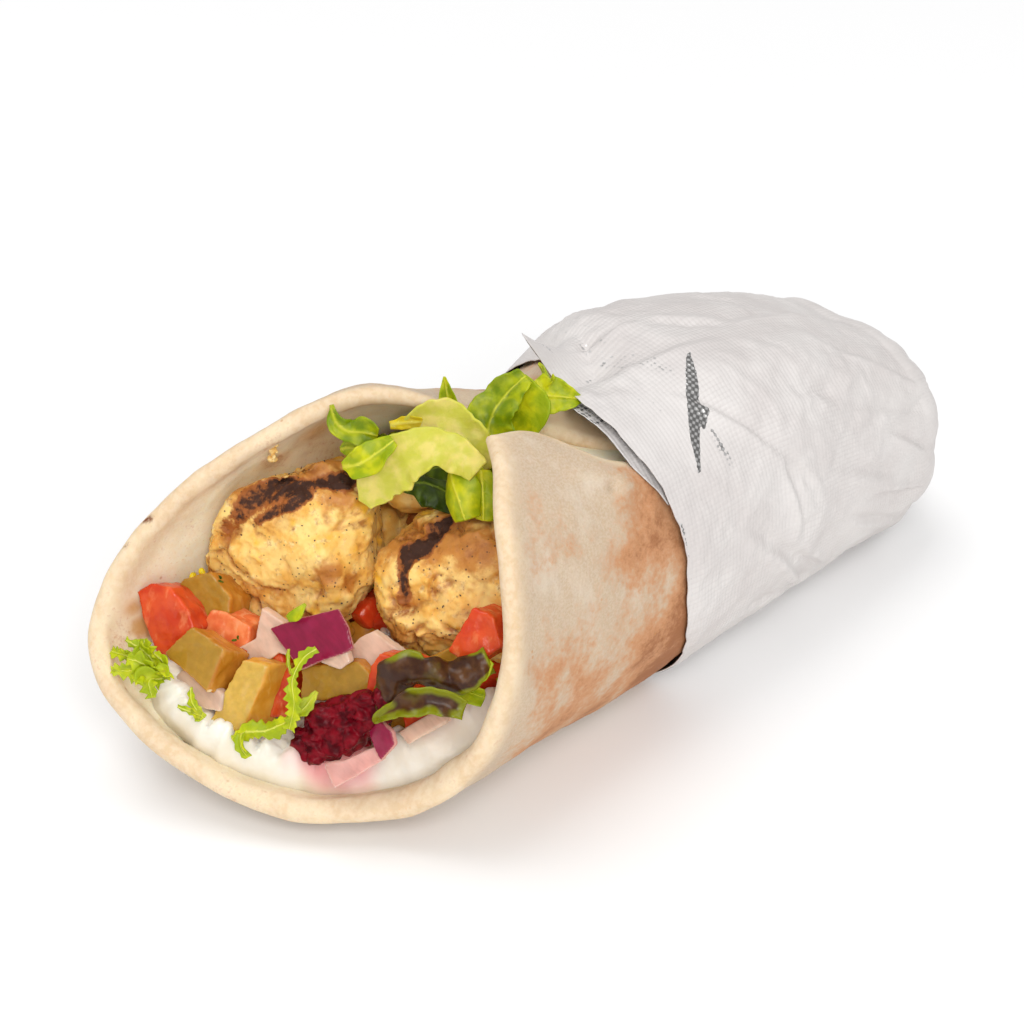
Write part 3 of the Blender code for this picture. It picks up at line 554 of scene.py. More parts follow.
def chicken_look():
    look = Look("chicken", 0.4, Specular_IOR_Level=0.35, **soft(0.25, (1.0, 0.6, 0.25), 1.6))
    patch = look.noise(5.5, 4)
    pale = look.mix(look.between(patch, 0.38, 0.64), (0.95, 0.66, 0.22), (0.90, 0.50, 0.10))
    pale = look.mix(look.between(look.noise(2.6, 3), 0.56, 0.74), pale, (0.96, 0.75, 0.34))
    pale = look.mix(look.times(look.between(look.noise(7.5, 2), 0.58, 0.70), 0.8), pale, (0.92, 0.50, 0.02))
    # Painted shade: the meat is darker in its clefts and torn grooves.
    deep = look.times(look.mask("crevice"), look.between(look.noise(1.6, 3), 0.25, 0.6))
    flesh = look.mix(deep, pale, (0.40, 0.13, 0.03))
    golden = look.plus(look.mask("brown"), look.times(look.plus(patch, -0.5), 1.1))
    golden = look.plus(golden, look.times(look.plus(look.noise(1.5, 3), -0.5), 0.6))
    flesh = look.mix(look.times(look.between(golden, 0.15, 0.75), 0.9), flesh, (0.52, 0.19, 0.03))
    flesh = look.mix(look.times(look.between(golden, 0.75, 1.2), 0.7), flesh, (0.27, 0.075, 0.015))
    grain = look.noise(0.9, 4)
    char = look.plus(look.mask("char"), look.times(look.plus(grain, -0.5), 0.9))
    char = look.plus(char, look.times(look.plus(look.noise(2.6, 3), -0.5), 1.0))
    flesh = look.mix(look.between(char, 0.06, 0.50), flesh, (0.35, 0.105, 0.018))
    flesh = look.mix(look.between(char, 0.56, 1.0), flesh, (0.050, 0.016, 0.007))
    fleck = look.times(look.between(look.cells(1.5), 0.20, 0.10), look.between(look.noise(5, 1), 0.42, 0.54))
    look.colour(look.mix(look.times(fleck, 0.85), flesh, (0.09, 0.035, 0.012)))
    burnt = look.between(char, 0.3, 0.8)
    look.set("Roughness", look.plus(look.plus(0.26, look.times(burnt, 0.35)), look.times(look.noise(1.8, 2), 0.3)))
    look.bump(look.noise(1.1, 4), 0.24, 0.7)
    return look.material


def wet_look(name, light, dark, inner, size, scatter, face=None, roughness=0.2):
    """A cut vegetable: two tones of flesh, paler threads, a duller face where the mask says, and a wet surface."""
    look = Look(name, roughness, Specular_IOR_Level=0.4, **soft(scatter, (1.0, 0.45, 0.25), 2.0))
    base = look.mix(look.between(look.noise(size, 3), 0.35, 0.65), light, dark)
    threads = look.between(look.noise(size * 0.5, 3, stretch=(1, 1, 3)), 0.54, 0.70)
    base = look.mix(look.times(threads, 0.55), base, inner)
    dull = look.mix(look.between(look.noise(1.6, 3), 0.3, 0.75), face or dark, tuple(1.22 * c for c in (face or dark)))
    look.colour(look.mix(look.times(look.mask("skin"), 0.85), base, dull))
    look.set("Roughness", look.plus(roughness * 0.7, look.times(look.noise(1.6, 2), roughness * 0.8)))
    look.bump(look.noise(0.8, 3), 0.16, 0.5)
    look.bump(look.noise(3.0, 2), 0.3, 0.4)
    return look.material


def onion_look(name, face, side, scatter):
    """Red onion: a coloured outer skin that fades to pale flesh at its cut sides."""
    look = Look(name, 0.2, Specular_IOR_Level=0.4, **soft(scatter, (1.0, 0.7, 0.6), 3.0))
    veins = look.noise(1.2, 3, stretch=(1, 4, 4))
    outer = look.mix(look.between(veins, 0.3, 0.7), face, tuple(c * 0.8 for c in face))
    outer = look.mix(look.times(look.between(look.noise(7, 2), 0.45, 0.7), 0.5), outer, tuple(c**0.85 for c in face))
    look.colour(look.mix(look.mask("skin"), side, outer))
    look.bump(veins, 0.05, 0.5)
    return look.material


def leaf_look(name, green, pale, dark, gloss=0.38):
    """A salad leaf: pale ribs and veins, darker and blistered between them."""
    look = Look(name, gloss, Specular_IOR_Level=0.24, **soft(0.45, (0.8, 1.0, 0.1), 1.2))
    blade = look.mix(look.between(look.noise(4, 3), 0.35, 0.65), green, dark)
    blade = look.mix(look.mask("depth"), blade, dark)
    blade = look.mix(look.times(look.between(look.noise(9, 4), 0.54, 0.66), 0.15), blade, pale)
    rib = look.between(look.plus(look.mask("rib"), look.times(look.plus(look.noise(2, 2), -0.5), 0.35)), 0.3, 0.8)
    look.colour(look.mix(rib, blade, pale))
    look.bump(look.mask("rib"), 0.3, 0.6)
    look.bump(look.noise(1.3, 3), 0.22, 0.5)
    return look.material


def beet_look():
    look = Look("beetroot", 0.2, Specular_IOR_Level=0.1)
    look.colour(look.mix(look.between(look.noise(2.5, 3), 0.35, 0.65), (0.065, 0.001, 0.004), (0.20, 0.004, 0.011)))
    look.bump(look.noise(0.7, 3), 0.2, 0.6)
    return look.material


def plain_look(name, first, second, size, roughness):
    look = Look(name, roughness)
    look.colour(look.mix(look.between(look.noise(size, 3), 0.35, 0.65), first, second))
    look.bump(look.noise(size * 0.6, 3), 0.1, 0.5)
    return look.material


# ---------------------------------------------------------------- bread

EDGE_STEPS = np.array((0, 0.15, 0.5, 1.0, 1.7, 2.5, 3.5, 4.6))
ROLL_ARC = 255.0
ROLL_RUN = 172.0
SHOWN_RUN = 0.7
# Burnt blisters on the far rim: station, angle, length along the rim, height.
BLISTERS = ((21.5, -107, 4.6, 0.25), (12.5, -92, 0.9, 0.8), (7.2, -79, 0.9, 0.6), (26, -112, 3.0, 0.2))
# Browner patches of the inner face: station, angle, radius, strength. The first two, beside the tomato, are painted
# shade of the hollow there.
INNER_BROWN = ((19, -80, 3.6, 0.8), (20, -72, 4.2, 1.0), (66, -132, 8, 0.6), (56, -122, 6, 0.4))
FOLD_LINE = ((-75, 3.5), (-45, 5.5), (-16, 9.0), (16, 13.0), (30, 13.5), (47, 11.0), (60, 8.0))


def bread_grid():
    """Grid positions of the sheet: close together at its rims, wide apart where the foil hides it."""
    rim = EDGE_STEPS / ROLL_ARC
    across = np.concatenate([rim, np.linspace(rim[-1] + 0.004, 1 - rim[-1] - 0.004, 270), 1 - rim[::-1]])
    rim = EDGE_STEPS / ROLL_RUN
    along = np.concatenate([rim, np.linspace(rim[-1] + 0.006, SHOWN_RUN, 108), np.linspace(0.72, 0.985, 14), [1.0]])
    return np.meshgrid(across, along)


def bread_sheet():
    """Where the sheet lies, how it waves, and the offsets of its two faces."""
    u, v = bread_grid()
    place = bread_place(u, v)
    flat = np.stack([place[..., 0], place[..., 1] * 0.75, 0 * u], -1)
    near_lip = lip_share(v, place[..., 1], 14)
    station = place[..., 0] + near_lip * 0.9 * noise(flat, 17, 3)
    return u, v, station, place[..., 1], flat


def on_spots(station, angle, spots):
    found = np.zeros_like(station)
    for spot_station, spot_angle, radius, strength in spots:
        away = np.hypot(station - spot_station, (angle - spot_angle) * 0.75)
        found = np.maximum(found, strength * np.exp(-((away / radius) ** 2)))
    return found


def lip_share(v, angle, reach):
    """1 at the sheet's front rim and fading within reach of it, and nothing on the far flap's rim."""
    return np.exp(-((v * ROLL_RUN / reach) ** 2)) * ease(angle, -112, -88)


def fold_step(angle, rim, flat):
    """The inner face's fold near the lip: how high the puffed lip stands, and the line along its foot."""
    place = curve(angle, FOLD_LINE) + 1.3 * noise(flat, 9, 14)
    window = ease(angle, -80, -62) * (1 - ease(angle, 58, 70))
    return window * (1 - ease(rim, place - 0.9, place + 0.5)), window * np.exp(-(((rim - place - 0.3) / 0.85) ** 2))


def bread_masks(station, angle, rim, outside, flat, line):
    """Toasting, golden depth and char over the sheet. Part of it is painted shade: the golden in the hollow beside the
    tomato and along the fold at the lip, and some of the browning low on the near side.
    """
    patches = layered(flat, 16, 3, 7)
    near_side = ease(angle, 20, 60) * (1 - ease(angle, 150, 170))
    towards_foil = ease(station, 84, 117)
    low = 1 - ease(angle, 62, 112)
    # Browner towards the foil and towards the bottom of the near side; the browning towards the bottom is partly
    # painted shade of the flap's underside, partly toasting.
    toast = outside * (near_side * (0.52 * towards_foil + 0.42 * low * ease(station, 50, 80)) + 0.38 * patches + 0.15)
    toast += outside * 0.35 * ease(station, 106, 118) * near_side
    toast += outside * on_spots(station, angle, ((106, -153, 3.0, 1.8),))
    toast -= 0.30 * np.exp(-((rim / 6) ** 2)) * outside
    golden = (1 - outside) * ease(rim, 2, 9) * (0.22 * ease(station, 40, 85) + 0.4 * ease(station, 88, 106))
    # The spots by the tomato paint shade of the hollow there into the golden mask.
    golden += (1 - outside) * ease(rim, 1, 4) * on_spots(station, angle, INNER_BROWN)
    # A golden line along the foot of the fold at the lip: painted shade in that crease.
    golden += (1 - outside) * line * (0.25 + 0.75 * ease(angle, 14, 26)) * ease(noise(flat, 5, 15), -0.5, 0.2)
    far_flap = ease(angle, 168, 180) + ease(-angle, 150, 175)
    golden += 0.35 * outside * far_flap * ease(station, 82, 100)
    char = np.zeros_like(station)
    for spot_station, spot_angle, length, _ in BLISTERS:
        x, y = station - spot_station, (angle - spot_angle) * 0.75
        along, off = 0.45 * x - 0.89 * y, 0.89 * x + 0.45 * y
        char = np.maximum(char, 1.7 * np.exp(-((along / length) ** 2) - (off / 0.55) ** 2))
    return toast, np.clip(golden, 0, 1), char * np.exp(-(((rim - 0.6) / 0.7) ** 2))


def make_bread():
    u, v, station, angle, flat = bread_sheet()
    radius = BREAD_THICKNESS / 2
    rise = lap(station, angle) - 1.2 * ease(station, 122, 132)
    middle = section(station, angle, rise - radius)
    rim = from_rim(middle)
    inward = np.clip(rim / (radius * 1.25), 0, 1)
    lip = lip_share(v, angle, 9)
    puffed = 1 + 0.13 * noise(flat, 9, 11) + 0.30 * lip * np.exp(-(((rim - 4) / 4) ** 2))
    half = radius * np.sqrt(1 - (1 - inward) ** 2) * puffed
    wave = 0.7 * noise(flat, 26, 5) + 0.35 * noise(flat, 11, 6) + 0.5 * lip * noise(flat, 13, 16)
    outer_relief = inward * (0.16 * noise(flat, 4.5, 8) + 0.09 * noise(flat, 2.0, 9))
    inner_relief = inward * (0.26 * noise(flat, 6.5, 12) + 0.10 * noise(flat, 2.2, 13))
    step, line = fold_step(angle, rim, flat)
    inner_relief = inner_relief + inward * (1.3 * step - 0.7 * line)
    inner_relief = inner_relief + 6.5 * on_spots(station, angle, ((102, 147, 10, 1.0),)) * ease(rim, 0, 2)
    for spot_station, spot_angle, length, height in BLISTERS:
        away = np.hypot(station - spot_station, (angle - spot_angle) * 0.75)
        outer_relief = outer_relief + height * np.exp(-((away / min(length, 1.4)) ** 2))
    outer_relief = outer_relief + on_spots(station, angle, ((101, 134, 3.0, 1.3), (97, 141, 3.5, 0.6)))
    outer_relief = outer_relief - on_spots(station, angle, ((98, 136, 1.2, 1.5), (104, 126, 5, 1.2), (110, 120, 6, 1.0)))
    outer = section(station, angle, rise - radius + half + wave + outer_relief)
    inner = section(station, angle, rise - radius - half + wave - inner_relief)
    under_foil = 0.35 * ease(station, 102, 116)
    outer[..., 2] = np.maximum(outer[..., 2], under_foil)
    inner[..., 2] = np.maximum(inner[..., 2], 0.2)
    points, faces = sheet(outer, inner)
    faces = short_split(points, faces)
    outside = ease(inward, 0.3, 1.0) * (1 - 0.85 * lip * (1 - ease(rim, 2, 9)))
    masks = {}
    outer_masks = bread_masks(station, angle, rim, outside, flat, 0 * line)
    inner_masks = bread_masks(station, angle, rim, 0 * outside, flat, line)
    for key, first, second in zip(("toast", "golden", "char"), outer_masks, inner_masks):
        masks[key] = both_sides(first, second * (0.4 if key == "char" else 1))
    # Near the foil the far flap's outer face takes the lighter inner colour: painted light against the shade of the
    # foil's edge.
    far_flap = ease(angle, 168, 180) + ease(-angle, 150, 175)
    masks["outside"] = both_sides(outside * (1 - 0.7 * far_flap * ease(station, 88, 100)), 0 * outside)
    # deep marks the inner face away from its rim, where the lighter painted-light colour goes.
    masks["deep"] = both_sides(0 * outside, ease(rim, 2, 11))
    make_valley()
    return make_piece("bread_sheet", points, faces, bread_look(), ["flatbread"], masks)


def make_valley():
    """The fold of bread in the dip between the near and the far flap."""
    station, angle = np.meshgrid(np.linspace(97, 118, 60), np.linspace(134, 176, 60))
    flat = np.stack([station, angle * 0.7, 0 * station], -1)
    depth = 4.6 + 4.2 * ease(angle, 140, 164) + 0.5 * noise(flat, 7, 17)
    upper, under = section(station, angle, -depth), section(station, angle, -depth - 1.5)
    points, faces = sheet(upper, under)
    zero = 0 * station
    # The fold takes the inner face's lighter colour all over: painted light against the shade it lies in.
    masks = {key: both_sides(value + zero, value + zero) for key, value in
             (("toast", 0), ("golden", 0.2), ("char", 0), ("outside", 0), ("deep", 1))}
    make_piece("bread_fold", points, faces, bread_look(), (), masks)


# ---------------------------------------------------------------- foil

FOIL_AROUND = 420
FOIL_THICKNESS = 0.3
EMBOSS_PITCH = 1.15
# Creases in the foil: station and angle of one end and the other, how deep, how wide.
CREASES = ((128, 152, 147, 118, 0.9, 2.0), (147, 118, 153, 88, 0.9, 2.2), (133, 100, 158, 72, 0.9, 2.5),
           (146, 84, 163, 58, 1.1, 2.0), (155, 80, 170, 60, -1.0, 2.2), (165, 105, 192, 92, 0.9, 3.0),
           (172, 125, 205, 118, 0.8, 3.0), (176, 80, 200, 62, 1.1, 2.0), (185, 150, 214, 128, 1.0, 3.0),
           (118, 172, 150, 166, 0.8, 2.6), (182, 90, 206, 80, -0.9, 2.4), (135, 66, 175, 50, 0.7, 2.5),
           (122, 190, 142, 186, 0.7, 2.0), (142, 186, 160, 172, -0.7, 2.2), (160, 172, 204, 176, 0.9, 2.6),
           (150, 140, 176, 128, 0.6, 3.0), (160, 96, 150, 120, 0.6, 2.2), (190, 112, 208, 98, 0.9, 2.2))
# Where the paper is rubbed off to bare foil: lines of station, angle, half width, strength.
RUBBED = (((138.8, 163, 0.4, 1.0), (134.5, 156, 1.1, 1.25), (129.5, 147, 1.5, 1.25), (125, 138, 1.2, 1.2), (121.5, 128, 0.4, 0.9)),
          ((129.5, 147, 0.8, 1.2), (131, 143, 0.8, 1.0), (128.5, 139, 0.6, 0.9)),
          ((130, 136, 0.9, 0.60), (130, 130, 1.0, 0.60), (131, 124, 0.9, 0.54)),
          ((132, -158, 3.6, 0.42), (128, -172, 4.5, 0.46)), ((127, 178, 3.6, 0.47), (131, 163, 3.2, 0.47)),
          ((121, 152, 1.4, 0.48), (118, 158, 1.4, 0.42)), ((122, 170, 1.2, 0.52), (119, 178, 1.0, 0.5)),
          ((113, 196, 0.7, 0.9), (116, 188, 0.8, 0.5)), ((112, 116, 0.35, 0.9), (113.5, 100, 0.3, 0.55), (116, 70, 0.25, 0.5)))


def line_strength(x, y, lines, edge=0.75):
    """Strength, up to about 1, of lines with rows of x, y, half width and strength."""
    found = np.zeros_like(x)
    for line in lines:
        for (x0, y0, w0, s0), (x1, y1, w1, s1) in zip(line[:-1], line[1:]):
            way = np.array((x1 - x0, y1 - y0))
            t = np.clip(((x - x0) * way[0] + (y - y0) * way[1]) / (way @ way), 0, 1)
            away = np.hypot(x - x0 - t * way[0], y - y0 - t * way[1])
            wide, strength = w0 + (w1 - w0) * t, s0 + (s1 - s0) * t
            found = np.maximum(found, strength * (1 - ease(away / wide, edge, 1.6)))
    return found


def crease_lines(station, angle):
    """Folds pressed into the foil, each a groove with a raised side."""
    total = np.zeros_like(station)
    x, y = station, (angle % 360) * 0.72
    for s0, a0, s1, a1, depth, width in CREASES:
        start, end = np.array((s0, a0 * 0.72)), np.array((s1, a1 * 0.72))
        way = end - start
        t = np.clip(((x - start[0]) * way[0] + (y - start[1]) * way[1]) / (way @ way), 0, 1)
        side = ((x - start[0]) * way[1] - (y - start[1]) * way[0]) / np.linalg.norm(way)
        away = np.hypot(x - start[0] - t * way[0], y - start[1] - t * way[1])
        fade = np.sin(np.pi * np.clip(t, 0.02, 0.98)) ** 0.5
        total += depth * fade * (np.exp(-((away / width) ** 2)) * np.tanh(side / width * 1.5))
    return total


def foil_relief(flat, station, angle, tail):
    """Crinkles of the wrapper: broad dents, sharp small ones, and folds drawn in to the tail."""
    broad = 0.7 * noise(flat, 30, 21) + 0.35 * noise(flat, 12, 22)
    tilted = flat @ np.array(((0.9, 0.45, 0), (-0.45, 0.9, 0), (0, 0, 1))) / (1.9, 1.0, 1.0)
    sharp = 0.62 * (ridged(tilted, 15, 2, 23) - 0.5) + 0.28 * (ridged(flat, 6, 2, 24) - 0.4)
    where = ease(noise(flat, 24, 25), -0.4, 0.4)
    facets = cells_of(flat + 3 * np.stack([noise(flat, 12, i) for i in (34, 35, 36)], -1), 21, 37)
    planes = 0.9 * (facets[1] - facets[0])
    gathers = tail * 1.1 * (np.abs(np.sin(np.radians(angle) * 6 + 1.5 * noise(flat, 20, 26))) - 0.4)
    return broad + sharp * (0.4 + 0.8 * where) + planes + 1.7 * crease_lines(station, angle) + gathers


def foil_points(share, lifted, relief_share=1.0):
    """Points of the wrapper for shares from 0 at the edge to 1 at the tail fold, and on to 2 at the tip."""
    turn = np.linspace(0, 360, FOIL_AROUND + 1)
    share, turn = np.meshgrid(share, turn, indexing="ij")
    angle = (turn + 180) % 360 - 180
    body, fold = np.clip(share, 0, 1), np.clip(share - 1, 0, 1)
    round_edge = np.stack([30 * np.cos(np.radians(angle)), 30 * np.sin(np.radians(angle)), 0 * angle], -1)
    ragged = 0.45 * noise(round_edge, 2.2, 27) + 0.9 * noise(round_edge, 12.0, 28)
    edge = curve(angle, FOIL_EDGE) + ragged * (1 - ease(body, 0, 0.12))
    off_corner = (angle - CORNER_ANGLE + 180) % 360 - 180
    loose = np.exp(-((off_corner / 9) ** 2)) * np.clip(1 - 9 * body, 0, 1)
    gape = ease(angle, 118, 140) * (1 - ease(angle, 166, 178)) * np.clip(1 - 11 * body, 0, 1) ** 1.5
    station = edge - CORNER_REACH * loose + (FOIL_TAIL - edge) * body
    flat = np.stack([station + 22 * fold, np.cos(np.radians(angle)) * 40, np.sin(np.radians(angle)) * 40], -1)
    relief = foil_relief(flat, station + 20 * fold, angle, ease(station, 175, 206)) * relief_share
    relief *= ease(body, -0.01, 0.05) * (1 - 0.85 * loose)
    ring = section(station, angle, foil_offset(station, angle) + lifted + relief * (1 - fold) + 1.5 * gape)
    ring[..., 2] += (CORNER_LIFT + 3.4) * loose
    middle = section(np.full(FOIL_AROUND + 1, FOIL_TAIL), angle[0], 0.7)[:-1].mean(axis=0)
    swing = fold * np.pi / 2
    shrink = np.cos(swing)
    height = 0.35 * shrink + 0.65 * shrink**2
    ring[..., 1] = middle[1] + (ring[..., 1] - middle[1]) * shrink
    ring[..., 2] = middle[2] + (ring[..., 2] - middle[2]) * height
    ring[..., 0] += (FOIL_END - FOIL_TAIL - 0.6) * np.sin(swing) + relief * fold * 0.8
    ring[..., 2] = np.maximum(ring[..., 2], 0.02)
    ring[:, -1] = ring[:, 0]
    return ring, station, turn


def foil_masks(station, turn, inside):
    """Bare metal, and the two directions of the embossing in millimetres."""
    silver = line_strength(station, turn * 0.72, [[(s, (a % 360) * 0.72, w, k) for s, a, w, k in line] for line in RUBBED])
    return {"silver": np.where(inside, 1.2, silver), "round": turn / 360 * 240, "along": station}


def make_foil():
    shares = np.concatenate([np.linspace(0, 1, 170) ** 1.05, 1 + np.linspace(0.03, 1.0, 34)])
    outer, outer_station, outer_turn = foil_points(shares, FOIL_THICKNESS)
    inner_shares = np.concatenate([np.linspace(0, 0.12, 12), np.linspace(0.2, 1, 14)])
    inner, inner_station, inner_turn = foil_points(inner_shares, -1.6 * ease(inner_shares, 0.03, 0.15)[:, None])
    points = np.concatenate([outer[::-1].reshape(-1, 3), inner.reshape(-1, 3)])
    faces = grid_faces(len(shares) + len(inner_shares), FOIL_AROUND + 1)
    outside = foil_masks(outer_station[::-1], outer_turn, False)
    inside = foil_masks(inner_station, inner_turn, True)
    masks = {key: np.concatenate([outside[key].ravel(), inside[key].ravel()]) for key in outside}
    LOOKS["foil"] = foil_look()
    make_piece("paper_foil", points, faces[:, ::-1], LOOKS["foil"], ["foil_wrapper"], masks)
    make_liner()


def make_liner():
    """A second edge of the foil that shows under the first, with a torn, frayed end."""
    angle, share = np.meshgrid(np.linspace(125, 186, 110), np.linspace(0, 1, 26))
    flat = np.stack([0 * angle, angle * 0.72, 0 * angle], -1)
    out = ease(angle, 124, 140) * (1 - ease(angle, 178, 187))
    torn = np.clip(ridged(np.stack([share * 22, 0 * share, 0 * share], -1), 2.4, 2, 38), -0.4, 1)
    angle = angle - 1.8 * torn * np.exp(-((angle - 125) / 3.0) ** 2)
    front = curve(angle, FOIL_EDGE) + 0.2 - 2.4 * out + 1.2 * ease(angle, 140, 156) + 0.35 * noise(flat, 2.5, 39)
    station = front + 13 * share
    place = np.stack([station, angle * 0.72, 0 * angle], -1)
    lifted = foil_offset(station, angle) - 0.62 + 0.18 * noise(place, 4, 40) + 0.35 * (1 - ease(share, 0, 0.12))
    middle = section(station, angle, lifted + 0.1)
    under = section(station, angle, lifted)
    for side in (0, -1):
        under[side], under[:, side] = middle[side], middle[:, side]
    points, faces = sheet(middle, under)
    silver = 0.55 * ease(angle, 136, 160) + 0.25 * noise(place, 6, 41)
    masks = {"silver": both_sides(silver, 0 * silver + 1.2), "round": both_sides(angle / 360 * 240, angle / 360 * 240),
             "along": both_sides(station, station)}
    make_piece("foil_liner", points, faces, LOOKS["foil"], (), masks)


# ---------------------------------------------------------------- sauce

def make_sauce():
    low, high = SAUCE_SIDES
    step = np.array((0, 0.3, 0.9, 1.7, 2.6)) / 120
    across = np.concatenate([step, np.linspace(0.03, 0.97, 220), 1 - step[::-1]]) * (high - low) + low
    step = np.array((0, 0.3, 0.9, 1.7, 2.6, 3.5)) / 170
    along = np.concatenate([step, np.linspace(0.027, 0.36, 100), np.linspace(0.42, 1, 10)])
    angle, share = np.meshgrid(across, along)
    flat_front = np.stack([0 * angle, angle * 0.75, 0 * angle], -1)
    front = curve(angle, SAUCE_FRONT) + 1.5 * noise(flat_front, 9, 41) + 0.8 * noise(flat_front, 4, 42)
    station = front + (FILLING_END - front) * share
    resting = section(station, angle, -BREAD_THICKNESS - 0.3)
    rim = from_rim(resting)
    edge = np.clip(rim / 3.6, 0, 1)
    well = 1 - ease(station, 46, 82)
    deep = (5.0 + 5.6 * well + 3.0 * ease(angle, 18, 44) * (1 - ease(station, 66, 92)))
    deep = deep * np.minimum(ease(angle, low, low + 26), ease(angle, high, high - 22))
    flat = np.stack([station, angle * 0.72, 0 * station], -1)
    bent = flat + 1.6 * np.stack([noise(flat, 6, i) for i in (43, 44, 45)], -1)
    puffs = 4.6 * np.abs(noise(bent, 9.0, 46)) ** 0.6 + 2.2 * np.abs(noise(bent, 4.4, 47)) ** 0.7
    lumps = puffs - 2.6 + 0.35 * noise(flat, 1.8, 48)
    depth = np.maximum(deep, 0.2) * np.sqrt(1 - (1 - edge) ** 2) + lumps * np.sqrt(edge) * (0.15 + 0.85 * well)
    upper = section(station, angle, -BREAD_THICKNESS - 0.3 - np.maximum(depth, 0))
    points, faces = sheet(resting, upper)
    beet = centre_of("beet_relish") - 5 * MOUTH_UP + 2 * MOUTH_ACROSS + 3 * MOUTH_OUT
    away = np.linalg.norm((upper - beet) @ np.stack([MOUTH_ACROSS, MOUTH_UP * 1.15, MOUTH_OUT], 1), axis=-1)
    stain = 1 - ease(away + 2.6 * noise(flat, 5, 46), 6, 13.5)
    stains = both_sides(0 * stain, 0.75 * stain)
    return make_piece("sauce_lumps", points, faces[:, ::-1], sauce_look(), ["garlic_sauce"], {"stain": stains})


# ---------------------------------------------------------------- chicken

# Char stripes and browned spots on the two big chunks: across, up, out, half width, strength.
LEFT_CHAR = (((-3, 38, -23, 1.6, 0.8), (-4, 36, -18, 2.6, 1.25), (-8, 35.5, -14, 1.7, 0.85), (-12, 33.5, -12, 2.4, 1.1),
              (-16, 33, -12, 3.1, 1.1), (-20, 30, -11, 2.8, 0.75), (-24, 25, -11, 2.4, 0.7), (-27, 19, -12, 1.9, 0.4)),
             ((-10, 32, -12, 1.5, 1.0), (-13, 29, -11, 1.4, 0.95), (-16.5, 26.5, -10, 1.2, 0.85), (-20, 23, -10, 1.0, 0.6)))
RIGHT_CHAR = (((26, 36, -26, 1.6, 0.5), (21.5, 34.5, -24, 1.9, 0.8), (19, 30.5, -19, 2.3, 1.1), (17, 27, -16.5, 2.2, 1.05),
               (15, 24, -16, 2.6, 1.2), (14.5, 20, -14.5, 1.7, 1.0), (15.5, 16, -14, 1.3, 0.85), (16, 12, -14.5, 1.1, 0.45)),)
LEFT_BROWN = ((-10, 38, -17, 7, 1.0), (-22, 29, -11, 6, 0.8), (-3, 33, -15, 5, 0.6), (-14, 27, -10, 5, 0.55), (-2, 16, -13, 3.4, 1.0), (3, 14, -16, 3, 0.8),
              (-28, 20, -13, 4, 0.5), (2, 5, -16, 5, 0.7), (-14, 7, -15, 4, 0.5), (-20, 5, -17, 4, 0.6))
RIGHT_BROWN = ((11, 28, -20, 8, 1.0), (22, 32, -18, 9, 1.15), (29, 29, -16, 8, 1.0), (20, 25, -15, 5, 0.6), (9, 24, -21, 5, 0.7), (17, 13, -14, 3, 0.7),
               (15, 4, -17, 4, 0.9), (28, 3, -15, 4, 0.5))


def near_lines(points, lines):
    """How strongly each point lies on any of the given lines (rows of place, half width and strength)."""
    found = np.zeros(len(points))
    for line in lines:
        rows = np.array(line, float)
        places = mouth(rows[:, 0], rows[:, 1], rows[:, 2])
        for start, end, first, second in zip(places[:-1], places[1:], rows[:-1, 3:], rows[1:, 3:]):
            way = end - start
            t = np.clip((points - start) @ way / (way @ way), 0, 1)
            away = np.linalg.norm(points - start - t[:, None] * way, axis=1)
            width, strength = ((1 - t)[:, None] * first + t[:, None] * second).T
            found = np.maximum(found, strength * np.clip(1.35 - 0.7 * (away / width) ** 2, 0, 1))
    return found


def near_spots(points, spots):
    found = np.zeros(len(points))
    for across, up, out, radius, strength in spots:
        away = np.linalg.norm(points - mouth(across, up, out), axis=1)
        found = np.maximum(found, strength * np.exp(-((away / radius) ** 2)))
    return found


def make_chicken(name, nodes, voxel, char=(), brown=(), seed=50, rough=1.0):
    """Torn, grilled meat: a lumpy surface with fibres, cracks, browned edges and char."""
    obj = remeshed(name, [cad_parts[node].data for node in nodes], voxel, 10, 0.6)
    mesh = obj.data
    points, out = points_of(mesh), normals_of(mesh)
    low = 1 - ease(points[:, 2], 38, 54)
    broad = 1.8 * noise(points, 15, seed) + 1.1 * noise(points, 8, seed + 1)
    bent = points + 2.4 * np.stack([noise(points, 8, seed + i) for i in (2, 3, 4)], -1)
    fibre = bent @ np.array(((0.9, 0.3, 0.2), (-0.3, 0.9, 0.1), (-0.1, -0.2, 1.0))) / (2.6, 1.0, 1.0)
    near, second, which = cells_of(bent, 11.0, seed + 5)
    amount = np.clip(0.22 + 0.8 * low + 0.8 * ease(noise(points, 11, seed + 7), 0.0, 0.4), 0, 1)
    clefts = np.exp(-(((second - near) / 0.10) ** 2)) * amount * ease(noise(points, 6, seed + 15), -0.3, 0.3)
    torn = ridged(fibre, 4.2, 3, seed + 6) - 0.6
    lumps = (0.4 + 1.0 * amount) * (which - 0.5) - 1.3 * clefts
    fine = 0.75 * amount * torn + (0.08 + 0.22 * amount) * noise(points, 1.3, seed + 8) + 0.3 * noise(points, 3.2, seed + 9)
    warped = points + 1.1 * np.stack([noise(points, 5, seed + i) for i in (11, 12, 13)], -1)
    streaky = ridged(bent / (1, 1, 2.5), 2.2, 2, seed + 10)
    lines = near_lines(warped, char)
    grooves = 0.4 * lines * (streaky - 0.5) - 0.5 * lines
    lines = lines * (0.78 + 0.35 * streaky)
    relief = rough * (broad + lumps + fine) + grooves
    move_points(mesh, points + out * (relief - 0.35)[:, None])
    # crevice marks the clefts and torn grooves, where the colour is painted darker as shade.
    crevice = np.clip(1.1 * clefts + 0.75 * ease(-torn, 0.0, 0.7) * amount, 0, 1)
    masks = {"char": lines, "brown": near_spots(points, brown) + 0.15 * amount * ease(noise(points, 6, seed + 14), 0, 0.6),
             "crevice": crevice}
    return dress(obj, LOOKS["chicken"], nodes, masks)


# ---------------------------------------------------------------- cut vegetables

